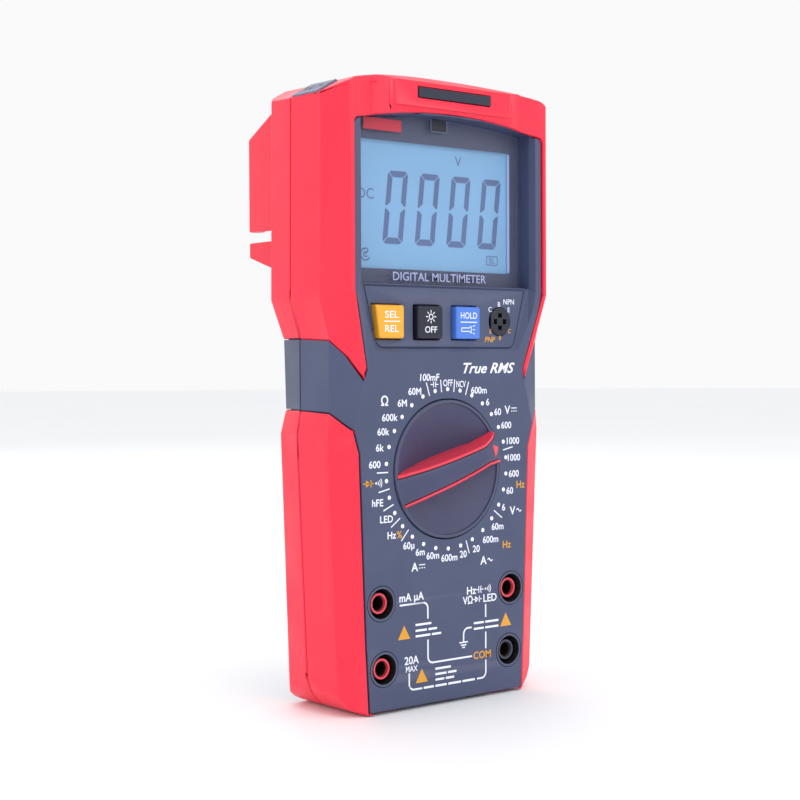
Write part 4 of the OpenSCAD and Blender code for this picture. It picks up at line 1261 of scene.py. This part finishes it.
    def _trims(self) -> bpy.types.Object:
        """The two red walls that stand out of the dish beside the bar."""
        bm = bmesh.new()
        for side in Side:
            rows = []
            for t in self._stations(self.radius - 0.9):
                inner = self.half_width(t) + 0.26
                outer = inner + self.trim - 0.1
                top = min(self.arch(t) + 0.12, self.top_y - 0.01)
                foot_s = outer + 0.25
                foot = max(self.hollow(math.hypot(foot_s, t)) + 0.15, top + 0.3)
                section = [
                    (inner, foot), (inner, top + 0.08), (inner + 0.12, top),
                    (outer - 0.25, top), (outer, top + 0.25), (foot_s, foot),
                ]
                room = self.radius - 0.75
                row = []
                for s, y in section:
                    limit = math.sqrt(max(0.0, room ** 2 - s ** 2))
                    row.append(bm.verts.new(self.place(side.value * s, y, max(-limit, min(limit, t)))))
                rows.append(row)
            skin(bm, rows)
            bm.faces.new(rows[0])
            bm.faces.new(list(reversed(rows[-1])))
        return settle(bm, "grip_trims", FINISH.trim, 40)

    def _pointer(self) -> bpy.types.Object:
        """The red triangle inlaid in the bar's outer end, following its arch."""
        bm = bmesh.new()
        t0, t1, half = self.radius - 4.7, self.radius - 1.2, 1.9
        rows = []
        for k in range(9):
            t = t0 + (t1 - t0) * k / 8
            w = max(0.04, half * (1 - k / 8))
            y = self.arch(t)
            section = ((-w, 0.5), (-w, -0.1), (w, -0.1), (w, 0.5))
            rows.append([bm.verts.new(self.place(s, y + d, t)) for s, d in section])
        skin(bm, rows)
        bm.faces.new(rows[0])
        bm.faces.new(list(reversed(rows[-1])))
        return settle(bm, "bar_pointer", FINISH.trim, 30)

    def _springs(self) -> None:
        """Coiled springs behind the two detent balls."""
        lo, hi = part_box("detent_springs")
        tree = Tree("spring")
        turns = tree.size("Turns")
        radius = tree.size("Radius")
        long = tree.size("Length")
        coil = tree.node("GeometryNodeCurveSpiral")
        coil.inputs["Resolution"].default_value = 14
        tree.link(turns, coil.inputs["Rotations"])
        tree.link(radius, coil.inputs["Start Radius"])
        tree.link(radius, coil.inputs["End Radius"])
        tree.link(long, coil.inputs["Height"])
        wire = tree.node("GeometryNodeCurvePrimitiveCircle")
        wire.inputs["Resolution"].default_value = 6
        wire.inputs["Radius"].default_value = 0.00012
        sweep = tree.node("GeometryNodeCurveToMesh")
        sweep.inputs["Fill Caps"].default_value = True
        tree.link(coil.outputs["Curve"], sweep.inputs["Curve"])
        tree.link(wire.outputs["Curve"], sweep.inputs["Profile Curve"])
        each = tree.node("GeometryNodeInstanceOnPoints")
        each.inputs["Rotation"].default_value = (0.0, math.radians(90), 0.0)
        tree.link(tree.entry.outputs["Geometry"], each.inputs["Points"])
        tree.link(sweep.outputs["Mesh"], each.inputs["Instance"])
        tree.close(each.outputs["Instances"], FINISH.steel)
        middle = (lo + hi) / 2
        reach = (self.radius - 3 - 5.9) * MM
        a = math.radians(self.angle)
        axis = Vector((middle.x, middle.y, self.axis_z * MM))
        sizes = {"Turns": 7.0, "Radius": 0.0006, "Length": 0.0040}
        coils = tree.grow([Vector((0, 0, 0))], sizes, "detent_coils", FINISH.steel)
        bm = bmesh.new()
        for side in Side:
            part = coils.data.copy()
            turn = Matrix.Rotation(a, 4, "Y")
            across = Matrix.Rotation(0 if side is Side.RIGHT else math.pi, 4, "Y")
            out = Matrix.Translation((reach + 0.0001, 0, 0))
            part.transform(Matrix.Translation(axis) @ turn @ across @ out)
            bm.from_mesh(part)
            bpy.data.meshes.remove(part)
        bpy.data.objects.remove(coils)
        hand_over(settle(bm, "detent_coils", FINISH.steel, 60), Body.SELECTOR, ["detent_springs"])


@dataclass
class DialPrint:
    """The dots, ticks and words printed round the selector, laid on the panel's upper slope."""

    axis_z: float = 68.8
    dots: int = 30
    dot_ring: float = 23.4
    dot: float = 0.62
    tick_ring: float = 24.7
    tick: float = 4.1
    ticks: tuple[int, ...] = (6, 18, 78, 126, 162, 222, 234, 246, 258, 270, 342, 354)

    slope_foot: float = 94.7
    slope: float = 0.1202

    def panel_rise(self, z: float) -> float:
        """How far the panel leans forward at a height."""
        return -max(0.0, z - self.slope_foot) * self.slope

    WORDS = (
        ("600m", 12.4, 22.9), ("6", 15.9, 19.3), ("60", 20.0, 16.3), ("600", 23.5, 12.2), ("1000", 26.3, 7.4),
        ("1000", 26.7, 2.3), ("600", 26.6, -2.6), ("60", 24.9, -7.7), ("6", 22.3, -12.6),
        ("60m", 19.8, -18.2), ("600m", 16.9, -21.9), ("20", 11.1, -24.3),
        ("20", 5.9, -25.5), ("600m", 0.4, -26.1), ("60m", -6.0, -25.0), ("6m", -10.8, -23.6), ("60µ", -15.1, -21.4),
        ("LED", -23.3, -13.3), ("hFE", -26.5, -8.5),
        ("600", -27.5, 2.4), ("6k", -25.6, 7.1), ("60k", -24.3, 11.6), ("600k", -21.9, 15.6), ("6M", -17.3, 19.6),
        ("60M", -12.6, 22.9),
        ("100mF", -7.0, 26.9),
    )

    def dress(self) -> None:
        """Prints the dial."""
        self._dots()
        self._ticks()
        white = PrintSheet("dial_words_white", FINISH.white_ink, lie=self.panel_rise)
        amber = PrintSheet("dial_words_amber", FINISH.amber_ink)
        z = self.axis_z
        for words, x, dz in self.WORDS:
            white.word(Legend(words, x, z + dz, 1.95))
        white.word(Legend("OFF", 0.1, z + 25.2, 1.9, width=3.7, bold=0.012))
        white.word(Legend("NCV", 5.25, z + 24.8, 1.85, width=3.7, bold=0.012))
        white.word(Legend("Hz", -21.4, z - 18.0, 1.95))
        amber.word(Legend("%", -18.6, z - 18.0, 1.95))
        white.capacitor(-5.1, z + 24.8, 1.7)
        amber.diode(-29.8, z - 2.9, 2.0)
        white.beeper(-25.6, z - 2.9, 1.9)
        white.word(Legend("Ω", -23.8, z + 20.3, 2.6))
        for x, dz, letter, wave in (
            (25.0, 16.8, "V", False), (27.0, -13.8, "V", True), (15.0, -28.0, "A", True), (-11.9, -27.8, "A", False),
        ):
            self._mode(white, x, z + dz, letter, wave)
        for x, dz in ((29.4, -6.0), (23.6, -23.9)):
            amber.word(Legend("Hz", x, z + dz, 2.1))
        white.word(Legend("True RMS", 16.1, 98.3, 2.95, width=20.8, slant=0.28, bold=0.018))
        hand_over(white.finished(), Body.CASE)
        hand_over(amber.finished(), Body.CASE)

    def _mode(self, sheet: PrintSheet, x: float, z: float, letter: str, wave: bool) -> None:
        """A unit's letter with the sign for alternating or direct current beside it."""
        sheet.word(Legend(letter, x - 1.0, z, 2.4))
        if wave:
            sheet.line([(x + 0.7 + 0.16 * k, z + 0.42 * math.sin(k * math.pi / 6)) for k in range(13)], 0.34)
            return
        sheet.line([(x + 0.6, z + 0.5), (x + 2.9, z + 0.5)], 0.28)
        for k in range(3):
            sheet.line([(x + 0.6 + 0.92 * k, z - 0.42), (x + 1.06 + 0.92 * k, z - 0.42)], 0.3)

    def _dots(self) -> None:
        """One dot for each switch position."""
        tree = Tree("position_dots")
        size = tree.size("Radius")
        disc = tree.node("GeometryNodeMeshCylinder", fill_type="NGON")
        disc.inputs["Vertices"].default_value = 20
        disc.inputs["Depth"].default_value = 0.03 * MM
        tree.link(size, disc.inputs["Radius"])
        each = tree.node("GeometryNodeInstanceOnPoints")
        each.inputs["Rotation"].default_value = (math.radians(90), 0.0, 0.0)
        tree.link(tree.entry.outputs["Geometry"], each.inputs["Points"])
        tree.link(disc.outputs["Mesh"], each.inputs["Instance"])
        tree.close(each.outputs["Instances"], FINISH.white_ink)
        seeds = []
        for k in range(self.dots):
            a = 2 * math.pi * k / self.dots
            seeds.append(at(self.dot_ring * math.sin(a), -0.015, self.axis_z + self.dot_ring * math.cos(a)))
        hand_over(tree.grow(seeds, {"Radius": self.dot * MM}, "dial_dots", FINISH.white_ink), Body.CASE)

    def _ticks(self) -> None:
        """The lines between the ranges, each pointing at the axis."""
        tree = Tree("range_ticks")
        long = tree.size("Length")
        axis = tree.size("Axis", "NodeSocketVector")
        bar = tree.node("GeometryNodeMeshCube")
        join = tree.node("ShaderNodeCombineXYZ")
        join.inputs["X"].default_value = 0.34 * MM
        join.inputs["Y"].default_value = 0.03 * MM
        tree.link(long, join.inputs["Z"])
        tree.link(join.outputs["Vector"], bar.inputs["Size"])
        here = tree.node("GeometryNodeInputPosition")
        away = tree.node("ShaderNodeVectorMath", operation="SUBTRACT")
        tree.link(here.outputs["Position"], away.inputs[0])
        tree.link(axis, away.inputs[1])
        turn = tree.node("FunctionNodeAlignEulerToVector", axis="Z", pivot_axis="Y")
        tree.link(away.outputs["Vector"], turn.inputs["Vector"])
        each = tree.node("GeometryNodeInstanceOnPoints")
        tree.link(tree.entry.outputs["Geometry"], each.inputs["Points"])
        tree.link(bar.outputs["Mesh"], each.inputs["Instance"])
        tree.link(turn.outputs["Rotation"], each.inputs["Rotation"])
        tree.close(each.outputs["Instances"], FINISH.white_ink)
        seeds = []
        for degrees in self.ticks:
            a = math.radians(degrees)
            seeds.append(at(self.tick_ring * math.sin(a), -0.015, self.axis_z + self.tick_ring * math.cos(a)))
        values = {"Length": self.tick * MM, "Axis": tuple(at(0, -0.015, self.axis_z))}
        hand_over(tree.grow(seeds, values, "dial_ticks", FINISH.white_ink), Body.CASE)


@dataclass
class Keys:
    """The three keys and their legends."""

    z: float = 111.6
    face_y: float = -2.0
    radius_mm: float = 0.7

    def dress(self) -> None:
        """Rounds the keys and prints them."""
        for node, body, slot, finish in (
            ("select_key", Body.SELECT, "key_yellow", FINISH.key_yellow),
            ("backlight_key", Body.BACKLIGHT, "key_dark", FINISH.key_dark),
            ("hold_key", Body.HOLD, "key_blue", FINISH.key_blue),
        ):
            hand_over(Softener(node, self.radius_mm, 30.0, 4).soften(node + "_moulded", finish), body, [node])
        mode = self._sheet("select_legend")
        mode.word(Legend("SEL", -22.6, self.z + 2.05, 1.9, width=5.0, bold=0.005))
        mode.line([(-25.4, self.z + 0.1), (-19.6, self.z + 0.1)], 0.28)
        mode.word(Legend("REL", -22.6, self.z - 1.95, 1.9, width=5.0, bold=0.005))
        hand_over(mode.finished(), Body.SELECT)
        lamp = self._sheet("backlight_legend")
        self._sun(lamp, -8.0, self.z + 1.6)
        lamp.word(Legend("OFF", -8.0, self.z - 2.1, 1.8, width=4.6, bold=0.005))
        hand_over(lamp.finished(), Body.BACKLIGHT)
        hold = self._sheet("hold_legend")
        hold.word(Legend("HOLD", 6.7, self.z + 2.15, 1.8, width=6.4, bold=0.005))
        hold.line([(3.4, self.z + 0.2), (9.9, self.z + 0.2)], 0.28)
        self._torch(hold, 6.5, self.z - 2.0)
        hand_over(hold.finished(), Body.HOLD)
        dress_node("keypad_membrane", FINISH.silicone)

    def _sheet(self, name: str) -> PrintSheet:
        """A white print on the keys' faces."""
        return PrintSheet(name, FINISH.white_ink, self.face_y, 0.02)

    def _sun(self, sheet: PrintSheet, x: float, z: float) -> None:
        """A lamp with eight rays."""
        sheet.circle(x, z, 0.72, 0.28)
        for k in range(8):
            a = math.pi * k / 4
            sheet.line([(x + r * math.cos(a), z + r * math.sin(a)) for r in (1.15, 1.9)], 0.27)

    def _torch(self, sheet: PrintSheet, x: float, z: float) -> None:
        """A small torch seen from its side."""
        outline = [(-2.7, 0.5), (0.3, 0.5), (1.1, 1.05), (1.1, -1.05), (0.3, -0.5), (-2.7, -0.5), (-2.7, 0.5)]
        for a, b in zip(outline, outline[1:]):
            sheet.line([(x + a[0], z + a[1]), (x + b[0], z + b[1])], 0.25)
        for dz in (-0.95, 0.0, 0.95):
            sheet.line([(x + 1.7, z + dz), (x + 2.5, z + dz * 1.35)], 0.24)


@dataclass
class TransistorSocket:
    """The small four-way socket and its letters."""

    x: float = 20.9
    z: float = 112.2

    def dress(self) -> None:
        """Dresses the socket and prints its letters."""
        piece = Softener("transistor_socket", 0.15).soften("transistor_socket_moulded", FINISH.well)
        hand_over(piece, Body.CASE, ["transistor_socket"])
        dress_node("transistor_contacts", FINISH.gilt)
        white = PrintSheet("socket_words_white", FINISH.white_ink)
        for words, x, z, cap in (
            ("C", 17.0, 115.8, 1.4), ("B", 20.7, 117.4, 1.4), ("NPN", 24.7, 118.2, 1.55), ("E", 24.7, 115.8, 1.4),
        ):
            white.word(Legend(words, x, z, cap, bold=0.006))
        hand_over(white.finished(), Body.CASE)
        amber = PrintSheet("socket_words_amber", FINISH.amber_ink)
        for words, x, z, cap, slant in (
            ("E", 17.2, 109.2, 1.2, 0.1), ("PNP", 16.9, 106.8, 1.55, 0.2),
            ("B", 21.0, 107.3, 1.2, 0.1), ("C", 24.9, 109.4, 1.2, 0.1),
        ):
            amber.word(Legend(words, x, z, cap, slant=slant, bold=0.015))
        hand_over(amber.finished(), Body.CASE)


@dataclass
class Jacks:
    """The four input jacks, and the routes printed between them."""

    places: tuple[Point, ...] = ((-25.17, 31.5), (25.17, 31.5), (-24.28, 12.7), (24.28, 12.7))

    def dress(self) -> None:
        """Dresses the jacks and prints their routes."""
        for node, finish, slot in (
            ("live_sleeves", FINISH.sleeve_red, "trim_red"), ("common_sleeve", FINISH.sleeve_grey, "sleeve_grey"),
        ):
            hand_over(Softener(node, 0.2, 40.0, 2).soften(node + "_moulded", finish), Body.CASE, [node])
        dress_node("jack_block", FINISH.jack)
        dress_node("jack_contacts", FINISH.contact)
        bm = bmesh.new()
        for x, z in self.places:
            lathe(bm, [(4.32, 0.1), (4.45, 0.02), (4.85, 0.02), (4.98, 0.08), (4.98, 0.4), (4.32, 0.4)], x, z, 64)
        hand_over(settle(bm, "jack_rims", FINISH.shell, 60), Body.CASE)
        self._routes()

    def _routes(self) -> None:
        """The white routes, their signs and the amber marks."""
        white = PrintSheet("jack_words_white", FINISH.white_ink)
        amber = PrintSheet("jack_words_amber", FINISH.amber_ink)
        white.word(Legend("mA µA", -14.1, 32.5, 2.25, width=9.2))
        white.word(Legend("20A", -14.2, 14.2, 2.2, width=5.4))
        white.word(Legend("MAX", -14.2, 11.7, 1.6, width=4.4, bold=0.012))
        white.word(Legend("Hz", 9.1, 32.2, 2.2, width=3.6))
        white.capacitor(12.4, 32.2, 2.1)
        white.beeper(16.2, 32.2, 1.9)
        white.word(Legend("VΩ", 7.6, 29.4, 2.2, width=3.9))
        white.diode(11.4, 29.4, 1.9)
        white.word(Legend("LED", 16.6, 29.4, 2.2, width=5.4))
        amber.word(Legend("COM", 13.3, 12.6, 2.1, width=7.0, bold=0.016))
        width = 0.5
        white.line([(-18.6, 30.4)] + arc(-9.75, 28.65, 1.75, 90, 0, 6) + [(-8.0, 25.6)], width)
        white.line([(-8.0, 19.5)] + arc(-6.25, 14.35, 1.75, 180, 270, 6) + [(9.2, 12.6)], width)
        white.line([(14.8, 27.6), (14.8, 23.7)], width)
        white.line([(14.8, 19.3), (14.8, 14.3)], width)
        white.line([(14.8, 10.9)] + arc(13.05, 7.35, 1.75, 0, -90, 6) + [(11.2, 5.6)], width)
        white.line([(-15.15, 10.5)] + arc(-13.4, 7.35, 1.75, 180, 270, 6) + [(-10.3, 5.6)], width)
        white.line([(9.1, 21.2)] + arc(7.65, 19.45, 1.75, 90, 180, 6) + [(5.9, 17.3)], width)
        for half, z in ((1.65, 17.1), (1.1, 16.3), (0.5, 15.6)):
            white.line([(5.9 - half, z), (5.9 + half, z)], 0.38)
        self._notes(white)
        for x, z in ((-17.0, 22.4), (23.0, 22.1), (-10.4, 9.2)):
            amber.shape([(x - 2.3, z - 1.9), (x, z + 2.1), (x + 2.3, z - 1.9)])
        hand_over(white.finished(), Body.CASE)
        hand_over(amber.finished(), Body.CASE)

    def _notes(self, sheet: PrintSheet) -> None:
        """Short plain dashes where small print stands."""
        for x0, z, lengths in (
            (-12.7, 24.2, (6.0,)), (-12.7, 22.5, (4.3, 3.3)), (-12.7, 20.9, (5.6, 3.6)),
            (10.0, 22.3, (4.0, 5.4)), (10.0, 20.6, (4.0, 5.4)),
            (-5.2, 10.6, (6.0,)), (-5.2, 9.0, (4.3, 3.3)), (-5.2, 7.4, (3.4, 3.3)),
            (-9.7, 5.6, (3.9, 4.4, 5.0, 4.9)),
        ):
            x = x0
            for length in lengths:
                sheet.line([(x, z), (x + length, z)], 0.62)
                x += length + 0.6


@dataclass
class Screws:
    """Every screw of the meter, with its cross recess."""

    def dress(self) -> None:
        """Grows the screws where the frame has them."""
        for node, name, slot in (
            ("case_screws", "case_screw_set", "steel"), ("door_screws", "door_screw_set", "steel"),
            ("board_screws", "board_screw_set", "steel"),
        ):
            self._set(node, name)

    def _islands(self, node: str) -> list[tuple[Vector, Vector]]:
        """The lowest and highest corner of each separate screw of a node."""
        bm = bmesh.new()
        bm.from_mesh(frame["nodes"][node].data)
        bmesh.ops.remove_doubles(bm, verts=bm.verts, dist=2e-6)
        seen: set[bmesh.types.BMVert] = set()
        boxes = []
        for start in bm.verts:
            if start in seen:
                continue
            stack, part = [start], []
            seen.add(start)
            while stack:
                v = stack.pop()
                part.append(v.co.copy())
                for e in v.link_edges:
                    other = e.other_vert(v)
                    if other not in seen:
                        seen.add(other)
                        stack.append(other)
            low, high = (Vector(end(c[k] for c in part) for k in range(3)) for end in (min, max))
            boxes.append((low, high))
        bm.free()
        return boxes

    def _set(self, node: str, name: str) -> None:
        """Grows one kind of screw."""
        boxes = self._islands(node)
        lo, hi = boxes[0]
        radius = (hi.x - lo.x) / 2
        length = hi.y - lo.y
        stamp = self._stamp(name + "_stamp", radius, length)
        tree = stamp_tree(name + "_tree", stamp, FINISH.steel, turn_seed=7)
        seeds = [Vector(((b[0].x + b[1].x) / 2, b[1].y, (b[0].z + b[1].z) / 2)) for b in boxes]
        piece = tree.grow(seeds, {"Scale": 1.0}, name, FINISH.steel, 35)
        bpy.data.objects.remove(stamp)
        hand_over(piece, Body.CASE, [node])

    def _stamp(self, name: str, radius: float, length: float) -> bpy.types.Object:
        """One screw about its head's outer middle, its shank along -y."""
        bm = bmesh.new()
        steps, arm, notch = 32, radius * 0.62, radius * 0.16
        head = min(1.3 * MM, length * 0.3)
        cross = []
        for quarter in range(4):
            a = math.pi / 2 * quarter
            for px, pz in ((arm, -notch), (arm, notch), (notch, notch)):
                cross.append((px * math.cos(a) - pz * math.sin(a), px * math.sin(a) + pz * math.cos(a)))
        rim = []
        for k in range(steps):
            a = 2 * math.pi * k / steps
            rim.append((math.cos(a), math.sin(a)))
        levels = [
            (0.88, -0.02 * MM), (1.0, -0.22 * MM), (1.0, -head),
            (0.55, -head - 0.2 * MM), (0.5, -length * 0.97), (0.3, -length),
        ]
        rings = [[bm.verts.new((c * radius * s, y, d * radius * s)) for c, d in rim] for s, y in levels]
        skin(bm, rings)
        bm.faces.new(rings[-1])
        top = [bm.verts.new((x, 0.0, z)) for x, z in cross]
        floor = [bm.verts.new((x * 0.8, -0.7 * MM, z * 0.8)) for x, z in cross]
        skin(bm, [top, floor])
        bm.faces.new(floor)
        edges = [bm.edges.get((top[k], top[(k + 1) % len(top)])) for k in range(len(top))]
        edges += [bm.edges.get((rings[0][k], rings[0][(k + 1) % steps])) for k in range(steps)]
        bmesh.ops.triangle_fill(bm, edges=edges, use_beauty=True)
        return settle(bm, name, FINISH.steel, 35)


@dataclass
class BackParts:
    """The stand, the probe holders and the torch."""

    def dress(self) -> None:
        """Softens the back's pieces and dresses the torch."""
        stand = Softener("tilt_stand", 0.5).soften("tilt_stand_moulded", FINISH.rear)
        hand_over(stand, Body.STAND, ["tilt_stand"])
        for node in ("probe_clip_left", "probe_clip_right"):
            hand_over(Softener(node, 0.5).soften(node + "_moulded", FINISH.bumper), Body.CASE, [node])
        dress_node("torch_led", FINISH.diffuser)
        lens = Softener("torch_lens", 0.25).soften("torch_lens_moulded", FINISH.clear)
        hand_over(lens, Body.CASE, ["torch_lens"])


@dataclass
class Insides:
    """The pieces behind the shells, kept as the frame has them with their own finishes."""

    FINISHES = (
        ("main_board", "board"), ("measuring_chip", "resin"), ("surge_varistors", "blue_coat"),
        ("input_thermistor", "amber_coat"), ("filter_capacitor", "resin"), ("current_shunt", "shunt"),
        ("small_fuse", "ceramic"), ("large_fuse", "ceramic"), ("fuse_clips", "gilt"), ("buzzer", "resin"),
        ("sensing_plate", "gilt"), ("battery_cells", "cell"), ("battery_contacts", "steel"),
    )

    def dress(self) -> None:
        """Gives each its finish."""
        for node, finish in self.FINISHES:
            dress_node(node, getattr(FINISH, finish))


@dataclass
class Studio:
    """The floor, the lights and the camera."""

    eye: tuple[float, float, float] = (-0.3114, -0.3768, 0.0995)
    look: tuple[float, float, float] = (0.63759, 0.77006, -0.02215)
    up: tuple[float, float, float] = (0.01766, 0.01414, 0.99974)
    lens: float = 72.44

    def build(self) -> None:
        """Sets the stage."""
        self._floor()
        self._light("key_softbox", (0.1, -1.1, 0.7), 0.8, 3.0)
        self._light("left_softbox", (-1.1, 0.25, 0.4), 0.7, 1.9)
        self._light("right_softbox", (0.95, -0.6, 0.55), 0.7, 0.25)
        self._light("back_softbox", (0.3, 1.1, 0.8), 0.8, 2.0)
        self._light("top_softbox", (0.0, 0.0, 1.3), 0.8, 2.4)
        world = bpy.data.worlds.new("studio_air")
        bpy.context.scene.world = world
        world.use_nodes = True
        air = world.node_tree.nodes["Background"]
        air.inputs["Color"].default_value = linear((252, 252, 253))
        air.inputs["Strength"].default_value = 0.98
        self._camera()
        scene = bpy.context.scene
        scene.view_settings.view_transform = "Standard"
        scene.view_settings.look = "None"

    def _floor(self) -> None:
        """A wide pale floor under the meter."""
        bm = bmesh.new()
        steps, reach = 64, 6.0
        turns = [2 * math.pi * k / steps for k in range(steps)]
        bm.faces.new([bm.verts.new((reach * math.cos(a), reach * math.sin(a), -0.0002)) for a in turns])
        floor = settle(bm, "studio_floor", FINISH.floor)
        for polygon in floor.data.polygons:
            if polygon.normal.z < 0:
                polygon.flip()

    def _light(self, name: str, place: tuple[float, float, float], size: float, power: float) -> None:
        """A square softbox aimed at the meter's middle."""
        lamp = bpy.data.lights.new(name, "AREA")
        lamp.size = size
        lamp.energy = power
        stand = bpy.data.objects.new(name, lamp)
        stand.location = place
        aim = Vector((0, 0, 0.09)) - Vector(place)
        stand.rotation_euler = aim.to_track_quat("-Z", "Y").to_euler()
        bpy.context.scene.collection.objects.link(stand)

    def _camera(self) -> None:
        """The camera, at the viewing angle."""
        data = bpy.data.cameras.new("view")
        data.lens = self.lens
        data.sensor_width = 36.0
        data.clip_start, data.clip_end = 0.01, 50.0
        camera = bpy.data.objects.new("view", data)
        look = Vector(self.look).normalized()
        up = Vector(self.up).normalized()
        right = look.cross(up).normalized()
        up = right.cross(look).normalized()
        turn = Matrix((right, up, -look)).transposed()
        camera.matrix_world = Matrix.Translation(self.eye) @ turn.to_4x4()
        bpy.context.scene.collection.objects.link(camera)
        bpy.context.scene.camera = camera


def main() -> None:
    """Builds and dresses the meter, part by part."""
    logging.basicConfig(level=logging.INFO, format="%(message)s", stream=sys.stdout)
    Studio().build()
    for assembly in (
        Shells(), Bumpers(), Display(), SignalBar(), Selector(), DialPrint(), Keys(),
        TransistorSocket(), Jacks(), Screws(), BackParts(), Insides(),
    ):
        LOG.info("-- %s", type(assembly).__name__)
        assembly.dress()


if __name__ == "__main__":
    main()
